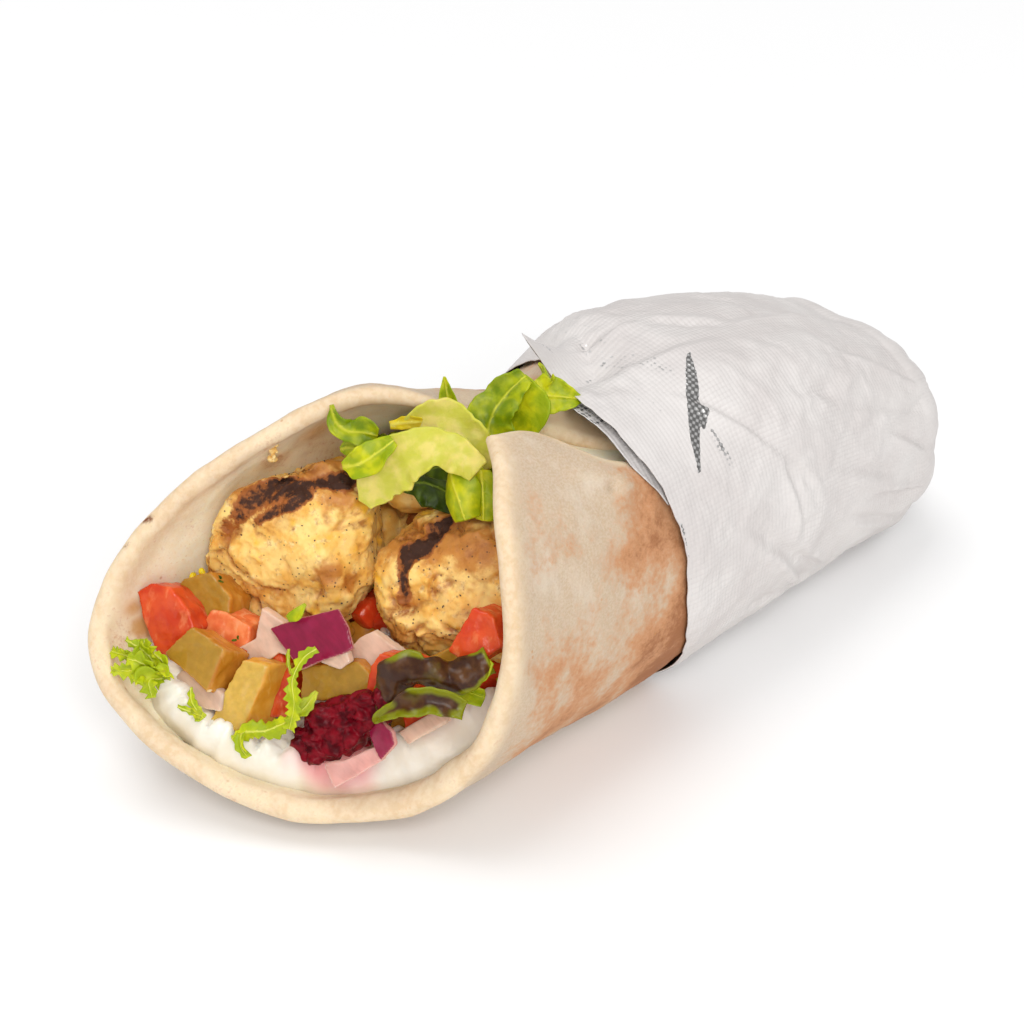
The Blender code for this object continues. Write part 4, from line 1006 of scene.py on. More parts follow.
def prism(corners, out, thick, slope=(0, 0), shift=(0, 0), taper=1.0):
    """A hand-cut block: its front face's corners as across and up, then how far it runs back and where to."""
    face = np.array(corners, float)
    middle = face.mean(axis=0)
    depth = out + (face - middle) @ np.array(slope, float)
    back = middle + (face - middle) * taper + np.array(shift, float)
    count = len(face)
    points = np.concatenate([mouth(face[:, 0], face[:, 1], 0), mouth(back[:, 0], back[:, 1], 0)])
    points = points + np.concatenate([depth, depth - thick])[:, None] * MOUTH_OUT
    faces = [list(range(count)), list(range(2 * count - 1, count - 1, -1))]
    faces += [[i, i + count, (i + 1) % count + count, (i + 1) % count] for i in range(count)]
    mesh = bpy.data.meshes.new("block")
    mesh.from_pydata(((points + SHIFT) * MM).tolist(), [], faces)
    whole = bmesh.new()
    whole.from_mesh(mesh)
    bmesh.ops.recalc_face_normals(whole, faces=whole.faces)
    bmesh.ops.triangulate(whole, faces=whole.faces)
    whole.to_mesh(mesh)
    whole.free()
    return mesh


def make_dice(name, node, look, seed, block, voxel=0.42, softness=6, swell=0.4, skin=(-0.25, 0.3, 0.85)):
    """A hand-cut piece with rounded edges, slightly uneven faces and a moist surface."""
    source = prism(*block)
    obj = remeshed(name, [source], voxel, softness, 0.6)
    bpy.data.meshes.remove(source)
    mesh = obj.data
    points, out = points_of(mesh), normals_of(mesh)
    relief = swell * noise(points, 6, seed) + 0.26 * noise(points, 2.6, seed + 1) + 0.08 * noise(points, 1.1, seed + 2)
    move_points(mesh, points + out * relief[:, None])
    face = mouth(*skin) - MOUTH_MIDDLE
    side = ease(out @ face / np.linalg.norm(face), 0.6, 0.9)
    return dress(obj, LOOKS[look], [node] if node else (), {"skin": side})


def make_onion(name, node, look, seed, block, bend=1.0, way=(1, 0.3), skin=(0.1, 0.3, 1), voxel=0.34):
    """A cut petal of onion: a thin plate, bent along its length, with its coloured skin in front."""
    source = prism(*block)
    obj = remeshed(name, [source], voxel, 4, 0.5)
    bpy.data.meshes.remove(source)
    mesh = obj.data
    points, out = points_of(mesh), normals_of(mesh)
    face = mouth(*skin) - MOUTH_MIDDLE
    face = face / np.linalg.norm(face)
    long_way = way[0] * MOUTH_ACROSS + way[1] * MOUTH_UP
    long_way = long_way / np.linalg.norm(long_way)
    reach = (points - points.mean(0)) @ long_way
    curl = bend * ((reach / np.abs(reach).max()) ** 2 - 0.4)
    points = points - curl[:, None] * face
    points = points + out * (0.22 * noise(points, 5, seed) + 0.05 * noise(points / (1, 1, 3), 1.1, seed + 1))[:, None]
    move_points(mesh, points)
    return dress(obj, LOOKS[look], [node], {"skin": ease(out @ face, 0.3, 0.75)})


def make_vegetables():
    dice = (
        ("tomato_wedge_cut", "tomato_wedge", "tomato", 301,
         (((-43, 2.6), (-39.5, 5.8), (-34.5, 5.6), (-29, 1.6), (-26.6, -2.8), (-30, -8), (-35, -10.8), (-39.5, -5.2)), -5, 9,
          (0.15, 0.1), (2, 1), 0.8)),
        ("tomato_pink_dice", "tomato_side", "tomato_pale", 302,
         (((-26.5, 1.6), (-23, 2.2), (-16.4, 0.6), (-16, -4.6), (-19, -8), (-28.6, -4.6)), -10, 8, (0, 0), (1, 1), 0.9)),
        ("tomato_dice_left", "tomato_cube", "tomato", 303,
         (((-17.4, -4.6), (-8, -3.4), (-4.6, -6.8), (-3.4, -17.4), (-10.4, -19), (-16, -12)), -9, 9, (0, 0), (1, 1), 0.95)),
        ("tomato_dice_middle", "tomato_middle", "tomato", 304,
         (((15.8, 2.8), (24, 2.4), (26, -1), (21.8, -8), (14.4, -6), (14, -0.6)), -6, 9, (0, 0), (1.5, 1), 0.95)),
        ("tomato_dice_right", "tomato_right", "tomato", 305,
         (((34.4, 17.6), (39.4, 16.4), (42.4, 10.6), (36.4, 4.6), (30.6, 6.8)), -7, 9, (0, 0), (2, 0.5), 0.95)),
        ("tomato_strip_cut", "tomato_strip", "tomato", 306,
         (((22.6, -10.6), (32.4, -4.2), (31, -8), (23.6, -15)), -10, 6, (0, 0), (0, 2), 0.9)))
    for name, node, look, seed, block in dice:
        make_dice(name, node, look, seed, block, skin=(0, -1, 0))
    dice = (
        ("pickle_dice_back", "pickle_back", "pickle", 311,
         (((-34.8, 7), (-28.4, 9.8), (-22.6, 5.4), (-22, -0.6), (-28.6, -4), (-37, 2.6)), -11, 9, (0, 0), (2, 0), 0.9)),
        ("pickle_dice_left", "pickle_left", "pickle", 312,
         (((-26.4, -0.6), (-17.4, -3.8), (-19.6, -14.2), (-31.6, -8)), 0, 8.5, (0, 0), (2.6, -1.6), 1.0)),
        ("pickle_dice_front", "pickle_front", "pickle_pale", 313,
         (((-14.4, -5.6), (-7.8, -5.6), (-11, -21.8), (-19.8, -21.6)), -3, 8, (-0.1, 0), (3.6, 0.6), 1.0)),
        ("pickle_dice_middle", "pickle_middle", "pickle", 314,
         (((-1.8, -4.8), (11, -0.4), (14.2, -2.4), (14.8, -7.6), (-0.4, -12.6)), -7, 8, (0, 0), (1, 0.8), 0.95)),
        ("pickle_dice_small", "pickle_small", "pickle", 315,
         (((23, 1.2), (28.8, 6.2), (32, 3), (27, -2)), -15, 5, (0, 0), (0, 0), 1.0)))
    for name, node, look, seed, block in dice:
        make_dice(name, node, look, seed, block)
    make_onion("onion_petal_purple", "onion_purple", "purple", 321,
               (((-10.8, 1.9), (-3, 6.2), (4.2, 9.9), (7.4, 6.6), (10.2, 2.6), (8.6, 1.2), (-0.9, -5)), -6, 2.6,
                (0.1, -0.25), (-0.6, -0.6), 1.0), 1.1, (1, 0.4), (0.1, 0.35, 1))
    make_onion("onion_petal_left", "onion_pale_left", "onion", 322,
               (((-15, 5), (-9, 3.4), (-2.4, -3.6), (-8, -3.6), (-10.4, -6), (-15.8, -9), (-19.8, -6.4), (-14.4, -2)), -9, 2.2,
                (0.12, -0.2), (0.4, 0.4), 1.0), 1.5, (0.3, 1))
    make_onion("onion_petal_middle", "onion_pale_middle", "onion", 323,
               (((6, -1), (8.6, 3.6), (11.4, 5.8), (20.6, 2.6), (16.6, -1), (14.4, -7), (7, -6)), -11, 2.2, (0.1, -0.2),
                (0.5, 0.5), 1.0), 1.4)
    make_onion("onion_petal_sliver", "onion_sliver", "onion", 324,
               (((2.6, -2.4), (4.4, 1.6), (7.6, 3.6), (8.4, 2), (10, -0.6), (8, -2.8)), -5.5, 1.8, (0.1, -0.2), (0.3, 0.3), 1.0),
               0.7)
    make_onion("onion_petal_low", "onion_low", "onion", 325,
               (((-29.4, -13.4), (-28, -11.4), (-22, -11.8), (-16.6, -14.2), (-16.4, -18), (-22, -18.6), (-28.6, -17.4)), -2.5, 2.4,
                (0.1, -0.1), (0.3, 0.3), 1.0), 0.8)
    make_onion("onion_petal_sauce", "onion_sauce", "onion_pink", 326,
               (((9.6, -23.2), (14, -21.4), (20.6, -16.4), (22.8, -18.8), (18, -23.6), (13.6, -27.6)), -0.6, 1.8, (0.1, -0.3),
                (0.2, 0.4), 1.0), 0.7)
    make_onion("onion_petal_beet", "onion_beet", "purple", 327,
               (((18.8, -9.8), (17.8, -14), (22.4, -19.2), (25, -14.6), (24, -12)), -0.8, 1.6, (0.4, 0), (0.4, 0.2), 1.0),
               1.0, (1, -0.4), (-0.3, 0.1, 1))
    make_onion("onion_petal_right", "onion_right", "onion", 328,
               (((23, -13.6), (28, -9), (34, -4.6), (33.4, -9), (26, -15.6)), -8, 2.2, (0, -0.3), (0.2, 0.4), 1.0), 0.8)


def make_beet():
    """Grated beetroot pressed in a wet heap."""
    heap = prism(((0.2, -20.6), (2.6, -15.6), (4.4, -12.4), (11, -8.6), (18.6, -4.4), (21.6, -5.8), (19.4, -12), (13.4, -20.4),
                  (8, -23.4), (3.6, -24.4)), -2.4, 9, (0, 0.15), (1, 1), 0.9)
    obj = remeshed("beetroot_heap", [heap], 0.32, 10, 0.6)
    bpy.data.meshes.remove(heap)
    mesh = obj.data
    points, out = points_of(mesh), normals_of(mesh)
    bent = points + 1.2 * np.stack([noise(points, 5, i) for i in (61, 62, 63)], -1)
    shreds = ridged(bent @ np.array(((0.8, 0.5, 0), (-0.5, 0.8, 0.1), (0, 0, 1))) / (2.4, 1, 1), 4.4, 2, 64) - 0.5
    near, second, _ = cells_of(bent, 5.4, 65)
    relief = 1.3 * shreds + 1.7 * (0.5 - near) + 0.2 * noise(points, 1.5, 66) - 0.4 * np.exp(-(((second - near) / 0.1) ** 2))
    move_points(mesh, points + out * relief[:, None])
    return dress(obj, LOOKS["beet"], ["beet_relish"])


# ---------------------------------------------------------------- leaves

def leaf_sheet(spine, face=(0, 0, 1), cup=0.2, ruffle=0.6, ragged=0.25, rib=0.9, veins=3.4, thick=0.5, seed=70,
               rows=110, columns=64, teeth=0.0, droop=0.0, edge=0.0, groove=0.10):
    """One leaf: rows of place along it (0 to 1), across, up, out, half width, twist in degrees.

    It gives the points, the faces and the masks of its ribs and blisters.
    """
    table = np.array(spine, float)
    along = np.linspace(0, 1, rows)
    found = curve(along, [tuple(row) for row in table])
    middle = mouth(found[:, 0], found[:, 1], found[:, 2])
    half, twist = found[:, 3], np.radians(found[:, 4])
    way = np.gradient(middle, axis=0)
    length = np.concatenate([[0], np.cumsum(np.linalg.norm(np.diff(middle, axis=0), axis=1))])
    way = way / np.linalg.norm(way, axis=1)[:, None]
    facing = mouth(*face) - MOUTH_MIDDLE
    up = facing - (way @ facing)[:, None] * way
    up = up / np.linalg.norm(up, axis=1)[:, None]
    side = np.cross(way, up)
    up, side = (np.cos(twist)[:, None] * up + np.sin(twist)[:, None] * side,
                np.cos(twist)[:, None] * side - np.sin(twist)[:, None] * up)
    w = np.linspace(-1, 1, columns)
    share, w = np.meshgrid(along, w, indexing="ij")
    far = length[:, None] + 0 * w
    edge_place = np.stack([far, np.sign(w) * 30, 0 * w], -1)
    uneven = 1.08 + 1.2 * ragged * noise(edge_place, 5.0, seed) + 0.5 * ragged * noise(edge_place, 1.9, seed + 1)
    uneven += teeth * (np.abs((far / 1.9 + 0.31 * (w > 0)) % 1 * 2 - 1) - 0.5) * np.abs(w) ** 2
    wide = np.maximum(half[:, None] * uneven, 0.06)
    x = w * wide
    flat = np.stack([far, x, np.full_like(x, seed)], -1)
    bowl = cup * wide * w**2 - droop * wide * np.abs(w) ** 3
    waves = 1.35 * ruffle * np.abs(w) ** 1.6 * noise(np.stack([far, np.sign(w) * 9 + 0 * w, 0 * w], -1), 4.2, seed + 2)
    blisters = 0.22 * ruffle * noise(flat, 2.3, seed + 3) + 0.3 * ruffle * noise(flat, 7, seed + 4)
    rib_place = np.exp(-((x / np.maximum(rib * (1 - 0.6 * share), 0.15)) ** 2)) if rib else 0 * x
    slant = (far - 0.85 * np.abs(x)) / veins + 0.25 * noise(flat, 4, seed + 5) + 0.35 * (x > 0)
    vein = np.exp(-((((slant % 1) - 0.5) * veins / 0.22) ** 2)) * 0.75 * (np.abs(w) < 0.93) if veins else 0 * x
    lift = bowl + waves + blisters - groove * vein
    sheet_middle = middle[:, None] + side[:, None] * x[..., None] + up[:, None] * lift[..., None]
    along_way = np.gradient(sheet_middle, axis=0)
    across_way = np.gradient(sheet_middle, axis=1)
    out = np.cross(across_way, along_way)
    out = out / np.maximum(np.linalg.norm(out, axis=-1), 1e-9)[..., None]
    out = out * np.sign((out * up[:, None]).sum(-1).mean())
    rim = np.minimum(np.minimum(wide - np.abs(x), far), length[-1] - far)
    body = np.sqrt(np.clip(rim / 0.35, 0, 1)) * (thick / 2) + 0.14 * rib_place * np.clip(rim / 1.0, 0, 1) * (rib > 0)
    outer = sheet_middle + out * body[..., None]
    inner = sheet_middle - out * body[..., None]
    outer[0], outer[-1], outer[:, 0], outer[:, -1] = (sheet_middle[0], sheet_middle[-1], sheet_middle[:, 0], sheet_middle[:, -1])
    points, faces = sheet(outer, inner)
    edges = np.cross(points[faces[:, 1]] - points[faces[:, 0]], points[faces[:, 2]] - points[faces[:, 1]])
    centre = points[faces].mean(1)
    upward = np.einsum("ij,ij->i", edges[:100], (out.reshape(-1, 3))[faces[:100, 0] % out[..., 0].size])
    if upward.mean() < 0:
        faces = faces[:, ::-1]
    pale = np.clip(0.6 * rib_place + vein * 0.35, 0, 1)
    if edge:
        pale = np.maximum(0.0 * pale, np.exp(-((rim / edge) ** 2)) * ease(noise(flat, 7, seed + 7), -0.7, 0.1))
    deep = ease(noise(flat, 2.6, seed + 6) + 0.4 * np.abs(w), 0.0, 0.8) * (1 - pale)
    return points, faces, {"rib": both_sides(pale, pale), "depth": both_sides(deep, deep)}


def join_sheets(parts):
    """Several sheets as one: points, faces and masks."""
    points, faces, masks, total = [], [], {key: [] for key in parts[0][2]}, 0
    for part_points, part_faces, part_masks in parts:
        points.append(part_points)
        faces.append(part_faces + total)
        total += len(part_points)
        for key in masks:
            masks[key].append(part_masks[key])
    return np.concatenate(points), np.concatenate(faces), {key: np.concatenate(value) for key, value in masks.items()}


def make_leaf(name, node, look, sheets):
    points, faces, masks = join_sheets([leaf_sheet(**settings) for settings in sheets])
    return make_piece(name, points, faces, LOOKS[look], [node] if isinstance(node, str) else node, masks)


def make_leaves():
    make_leaf("leaf_curl", "lettuce_curl", "green", [dict(
        spine=((0, -7.6, 52.8, -12, 0.5, 10), (0.25, -5.8, 49.4, -12, 1.7, 0), (0.5, -3, 47.8, -12.5, 2.6, -10),
               (0.75, 0.8, 48.3, -13, 3.0, 0), (1, 3.6, 48.2, -14, 1.9, 20)), cup=0.35, ruffle=0.9, seed=71)])
    make_leaf("leaf_small", "lettuce_small", "green", [dict(
        spine=((0, -5.6, 42.8, -17, 0.4, 0), (0.4, -3, 43.8, -16.2, 1.9, 0), (1, 1.4, 43.6, -17, 1.0, 0)),
        cup=0.3, ruffle=0.4, seed=72, rows=60, columns=40)])
    make_leaf("leaf_light", "lettuce_light", "bright", [dict(
        spine=((0, -1.9, 40.4, -10, 0.7, 0), (0.3, 1.4, 41.4, -9, 2.6, 8), (0.6, 4.4, 43.6, -9, 3.3, 0),
               (0.85, 7.2, 46.6, -10, 2.4, -12), (1, 8.6, 48.4, -10.5, 1.2, 0)), cup=0.25, ruffle=1.1, seed=73)])
    make_leaf("leaf_rib", "lettuce_rib", "rib", [dict(
        spine=((0, 3.6, 32.6, -14, 1.6, 0), (0.16, 5.4, 37.2, -13.2, 4.4, 8), (0.36, 9, 42.4, -12.4, 5.6, 0),
               (0.55, 13.4, 46.4, -12, 5.4, -14), (0.72, 18.6, 48.6, -12.4, 4.2, -30), (0.87, 23.4, 47.6, -13.6, 3.6, -22),
               (1, 27.4, 45.2, -15, 2.6, 0)), cup=0.12, ruffle=0.8, ragged=0.2, rib=0, veins=2.2, thick=0.8, groove=0.04, seed=74,
        rows=150, columns=80)])
    make_leaf("leaf_back", "lettuce_back", "rib", [dict(
        spine=((0, 7.6, 49.2, -22, 1.8, 0), (0.25, 11.8, 52.8, -21, 3.6, 0), (0.5, 17, 53.8, -20, 4.8, -8),
               (0.75, 21.8, 50.6, -20, 4.8, 0), (1, 27, 44.6, -21, 3.4, 0)), cup=0.25, ruffle=1.0, ragged=0.35, rib=0,
        veins=2.4, thick=0.7, groove=0.04, seed=75)])
    make_leaf("leaf_tip", "lettuce_tip", "bright", [dict(
        spine=((0, 15.2, 53.2, -27, 2.6, 0), (0.35, 14.2, 57, -27, 2.3, 0), (0.7, 13.0, 60.3, -26.5, 1.2, 0),
               (1, 12.2, 62.8, -26, 0.25, 0)), cup=0.55, ruffle=0.35, ragged=0.12, rib=0.7, seed=76, rows=70, columns=44)])
    make_leaf("leaf_yellow", "lettuce_yellow", "yellow", [dict(
        spine=((0, 3.4, 50, -21, 0.8, 0), (0.5, 7, 51.4, -21, 1.5, 0), (1, 11, 52.6, -21, 1.0, 20)),
        cup=0.3, ruffle=1.2, ragged=0.5, seed=77, rows=60, columns=36)])
    make_leaf("leaf_large", "lettuce_large", "green", [dict(
        spine=((0, 25.4, 47.6, -26, 2.6, 0), (0.25, 24.4, 52.4, -26.5, 5.2, 12), (0.5, 24.6, 56.6, -27, 5.0, 0),
               (0.75, 26.4, 61.4, -28, 4.2, -14), (1, 29.8, 66.6, -29, 2.0, 0)), cup=0.3, ruffle=1.3, ragged=0.22, rib=0.8,
        veins=4.2, seed=78)])
    make_leaf("leaf_edge", "lettuce_edge", "bright", [
        dict(spine=((0, 27.6, 66.0, -31, 1.5, 0), (0.35, 29.8, 61.2, -30, 5.4, 0), (0.7, 31.2, 57.0, -30, 4.8, 8),
                    (1, 30.2, 52.4, -30.6, 1.6, 0)), cup=0.1, ruffle=0.7, ragged=0.2, rib=0, veins=2.4, thick=0.7, groove=0.04, seed=79),
        dict(spine=((0, 31, 65.8, -33, 2.2, 0), (0.35, 34, 63.2, -32, 4.2, -10), (0.7, 38, 63.4, -33, 3.0, 0),
                    (1, 42, 63.6, -35, 0.6, 0)), cup=0.3, ruffle=1.2, ragged=0.25, rib=0.7, veins=4, seed=80),
        dict(spine=((0, 30, 69.2, -36, 0.3, 0), (0.4, 31.8, 68.2, -35, 0.9, 30), (0.75, 33.6, 66.4, -34, 1.2, 60),
                    (1, 34, 64, -34, 1.2, 0)), cup=0.5, ruffle=0.4, ragged=0.2, rib=0.4, veins=0, seed=81, rows=60,
             columns=30)])
    make_leaf("leaf_dark", "lettuce_dark", "dark", [
        dict(spine=((0, 6.6, 36.6, -26, 1.2, 0), (0.3, 11.2, 38.4, -26, 4.0, 0), (0.65, 16.4, 38.2, -26, 4.6, 10),
                    (1, 22, 36.4, -26, 3.2, 0)), cup=0.3, ruffle=1.2, ragged=0.2, rib=0.7, veins=3.6, seed=82),
        dict(spine=((0, 12.4, 41.4, -23, 1.2, 0), (0.4, 17.6, 43.8, -21.5, 2.9, 0), (0.75, 23, 44.4, -21, 2.9, 0),
                    (1, 27.6, 42, -23, 2.0, 0)), cup=0.2, ruffle=0.9, ragged=0.2, rib=0.6, veins=3.6, seed=83)])
    make_leaf("leaf_bright", "lettuce_bright", "bright", [
        dict(spine=((0, 20.6, 45.6, -16.5, 1.2, 30), (0.3, 22.0, 42.4, -15, 3.8, 22), (0.65, 24.4, 38.8, -14.2, 4.2, 8),
                    (1, 26.8, 34.2, -14.8, 2.8, 0)), cup=-0.55, ruffle=0.5, ragged=0.1, rib=0.7, veins=3.4, seed=84),
        dict(spine=((0, 27, 45.4, -18, 1.9, -20), (0.35, 28.6, 42, -16.5, 3.2, -12), (0.7, 29.6, 38.4, -16.5, 3.0, 0),
                    (1, 30, 34.6, -17.5, 2.0, 0)), cup=-0.4, ruffle=0.7, ragged=0.12, rib=0.6, veins=3.4, seed=85),
        dict(spine=((0, 20.4, 45.4, -18.4, 0.8, 80), (0.5, 23.8, 46.6, -19.6, 1.5, 80), (1, 27.6, 45, -19, 0.9, 80)),
             cup=0.2, ruffle=0.3, ragged=0.1, rib=0.4, veins=0, seed=86, rows=60, columns=30)])
    make_leaf("frisee_curls", "frisee_left", "frisee", frisee_curls())
    make_leaf("frisee_thread", "frisee_strand", "frisee", [
        dict(spine=((0, 3.6, 1.6, 0, 0.8, 0), (0.2, 1.6, -0.8, 1, 1.0, 20), (0.45, 0, -6, 1.4, 1.1, 0),
                    (0.7, 1.2, -11.4, 1.2, 1.4, -20), (1, 0.6, -17.6, -0.6, 1.1, 0)), teeth=0.7, ragged=0.5, ruffle=0.3,
             rib=0.4, veins=0, seed=91, rows=150, columns=26, cup=0.5),
        dict(spine=((0, -3.4, -0.4, -1.6, 0.3, 0), (0.4, -2.4, -3.4, -0.8, 0.5, 30), (1, 0, -6.4, 0, 0.5, 0)),
             teeth=0.6, ragged=0.4, ruffle=0.2, rib=0.3, veins=0, seed=92, rows=70, columns=20, cup=0.4),
        dict(spine=((0, 1.4, -14, -1.4, 0.9, 0), (0.5, 2.8, -12, -2.4, 1.5, 0), (1, 4.2, -8.4, -3.4, 0.4, 0)),
             teeth=0.3, ragged=0.4, ruffle=0.3, rib=0.4, veins=0, seed=93, rows=70, columns=26, cup=0.3)])
    make_leaf("frisee_foot", "frisee_base", "frisee", [
        dict(spine=((0, -12.6, -23.4, -1.4, 0.8, 0), (0.3, -9.2, -20.6, -0.8, 1.7, 10), (0.65, -4.6, -19.2, -1.2, 1.9, -16),
                    (1, 0.4, -15.4, -1.4, 1.1, 0)), teeth=0.4, ragged=0.5, ruffle=0.7, rib=0.5, veins=2.6, seed=94,
             rows=90, columns=36, cup=-0.4),
        dict(spine=((0, -10.4, -21.2, -0.8, 0.9, 0), (0.5, -9.4, -23.8, 0.2, 1.5, 30), (1, -7.6, -26.0, -0.4, 0.8, 0)),
             teeth=0.3, ragged=0.4, ruffle=0.5, rib=0.4, veins=0, seed=89, rows=60, columns=30, cup=0.5)])
    make_leaf("frisee_speck", "frisee_tip", "frisee", [
        dict(spine=((0, -23.6, -13.8, 0.4, 0.3, 0), (0.5, -22.2, -16.8, 1.2, 1.1, 10), (1, -18.8, -19.6, 1.4, 1.1, 0)),
             teeth=0.7, ragged=0.5, ruffle=0.4, rib=0.35, veins=0, seed=95, rows=60, columns=24, cup=0.4),
        dict(spine=((0, -25.6, -18.6, 1.2, 0.4, 0), (1, -19.4, -19.2, 1.4, 1.1, 0)), teeth=0.6, ragged=0.5, ruffle=0.3,
             rib=0.3, veins=0, seed=96, rows=40, columns=20)])
    make_leaf("lollo_frill", "lollo_leaf", "lollo", [
        dict(spine=((0, 19.0, -11.6, -2.4, 0.9, 0), (0.16, 20.6, -6.4, -0.6, 3.2, 10), (0.34, 24.2, -0.2, 0.8, 4.3, 40),
                    (0.56, 29.6, 2.0, 1.2, 3.6, 20), (0.78, 35.2, 3.0, -0.4, 3.4, -10), (1, 41.5, 8.0, -3, 3.0, 0)),
             cup=-0.7, ruffle=2.0, ragged=0.22, rib=0, veins=0, edge=1.1, thick=0.8, seed=97, rows=150, columns=80),
        dict(spine=((0, 19.0, -11.6, -2.0, 0.3, 0), (0.25, 22.6, -7.8, 0.4, 1.6, -10), (0.5, 28.0, -4.0, 1.2, 2.6, 0),
                    (0.75, 33.2, -2.6, 0.4, 2.8, 0), (1, 38.4, -3.6, -2.0, 1.8, 0)), cup=0.5, ruffle=1.6, ragged=0.25,
             rib=0, veins=0, edge=1.9, thick=0.6, seed=98, rows=110, columns=50)])
    make_leaf("leaf_scroll", "green_curl", "bright", [dict(
        spine=((0, 33.6, -1.8, -9.4, 0.5, 0), (0.4, 36.4, -1.2, -8.4, 1.7, 0), (1, 40.6, -1.4, -8.4, 1.9, 0)),
        cup=0.95, ruffle=0.2, ragged=0.1, rib=0.4, veins=0, seed=99, rows=60, columns=40)])
    make_leaf("leaf_speck", (), "bright", [dict(
        spine=((0, -6.2, 5.2, -5.2, 0.7, 0), (0.5, -4.4, 6.8, -5.0, 1.3, 10), (1, -2.8, 9.4, -5.6, 0.3, 0)),
        cup=0.3, ruffle=0.4, ragged=0.3, rib=0, veins=0, seed=88, rows=40, columns=24)])
    make_leaf("leaf_bit", "green_bit", "bright", [dict(
        spine=((0, 38.2, 2.2, -3.2, 0.6, 0), (0.5, 40.0, 5.2, -2.8, 2.0, 0), (1, 41.6, 8, -3.2, 1.2, 0)),
        cup=0.3, ruffle=0.4, ragged=0.2, rib=0.4, veins=2.6, seed=100, rows=50, columns=34)])


def frisee_curls():
    """The frilly bunch at the mouth's left side: short toothed blades fanning from one foot."""
    made = []
    tips = ((-43.8, -10.4, 1.0, 1.7), (-39.6, -6.4, 3.4, 1.4), (-35.6, -5.4, 2.4, 1.6), (-42.0, -14.2, 3.0, 1.8),
            (-37.4, -10.0, 5.8, 2.1), (-35.2, -14.6, 5.2, 2.2), (-32.4, -7.8, 3.4, 1.5), (-30.4, -17.4, 4.2, 2.0),
            (-28.8, -11.0, 3.8, 1.6))
    for i, (across, up, out, half) in enumerate(tips):
        foot = (-30.0, -13.2, 1.6)
        bow = 1.8 * np.sin(2.4 * i)
        middle = ((across + foot[0]) / 2 + bow, (up + foot[1]) / 2 + 1.4, (out + foot[2]) / 2 + 1.2)
        made.append(dict(spine=((0, *foot, 0.7, 20 * np.sin(i)), (0.5, *middle, half, -30 + 24 * (i % 3)),
                                (1, across, up, out, 0.5 * half, 20)),
                         teeth=0.9, ragged=0.6, ruffle=1.1, rib=0.4, veins=1.8, seed=101 + i, rows=64, columns=28, cup=0.4))
    return made


# ---------------------------------------------------------------- the fillings that run through

def surface_spots(node, count, seed, ahead):
    """Points scattered on a filling's surface up to the given station, with the ways its surface faces."""
    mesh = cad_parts[node].data
    mesh.calc_loop_triangles()
    corners = np.array([[mesh.vertices[i].co for i in t.vertices] for t in mesh.loop_triangles]) / MM - SHIFT
    middles = corners.mean(axis=1)
    cross = np.cross(corners[:, 1] - corners[:, 0], corners[:, 2] - corners[:, 0])
    area = np.linalg.norm(cross, axis=1)
    share = area * (middles[:, 0] < ahead)
    dice = np.random.RandomState(seed)
    picked = dice.choice(len(middles), count, p=share / share.sum())
    a, b = dice.rand(2, count, 1)
    a, b = np.where(a + b > 1, 1 - a, a), np.where(a + b > 1, 1 - b, b)
    chosen = corners[picked]
    spots = chosen[:, 0] + a * (chosen[:, 1] - chosen[:, 0]) + b * (chosen[:, 2] - chosen[:, 0])
    return spots, cross[picked] / area[picked, None], dice


def rounded_box(size, turn, place, steps=7, power=4.5):
    """Points and quads of one small dice with rounded edges."""
    side = np.linspace(-1, 1, steps)
    a, b = np.meshgrid(side, side, indexing="ij")
    points, faces = [], []
    for axis in range(3):
        for sign in (-1, 1):
            cube = np.stack([np.full_like(a, sign), a, b], -1)
            cube = np.roll(cube, axis, axis=-1).reshape(-1, 3)
            quads = grid_faces(steps, steps)
            faces.append((quads if sign > 0 else quads[:, ::-1]) + len(points) * steps * steps)
            points.append(cube)
    points = np.concatenate(points)
    points = points / (np.abs(points) ** power).sum(-1, keepdims=True) ** (1 / power)
    return (points * np.array(size) / 2) @ turn.T + place, np.concatenate(faces)


def turned(dice):
    """A random turn, as a matrix."""
    return np.array(Matrix.Rotation(dice.rand() * 6.28, 3, Vector(dice.randn(3)).normalized()))


def core(name, node, material, shrink, voxel=1.3):
    """The dense inside of a heap, drawn back from its outline."""
    obj = remeshed(name, [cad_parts[node].data], voxel, 4, 0.5)
    points, out = points_of(obj.data), normals_of(obj.data)
    relief = 1.1 * noise(points, 9, 401) + 0.6 * noise(points, 4, 402) - shrink
    move_points(obj.data, points + out * relief[:, None])
    zero = np.zeros(len(points))
    shade = np.full(len(points), 0.5)
    return dress(obj, material, [node], {"char": zero, "brown": shade, "crevice": shade, "rib": zero, "depth": shade + 0.4})


def scatter(name, node, look, slot, count, seed, ahead, size, sink):
    """One piece made of many small dice half sunk in the heap's surface."""
    spots, facing, dice = surface_spots(node, count, seed, ahead)
    points, faces, total = [], [], 0
    for spot, way in zip(spots, facing):
        box = np.array(size) * (0.75 + 0.5 * dice.rand(3))
        made, quads = rounded_box(box, turned(dice), spot - way * sink)
        made = made + 0.25 * np.stack([noise(made, 3, seed + i) for i in range(3)], -1)
        points.append(made)
        faces.append(quads + total)
        total += len(made)
    points = np.concatenate(points)
    return make_piece(name, points, np.concatenate(faces), LOOKS[look], (), {"skin": 0.5 + 0.5 * noise(points, 4, seed)})


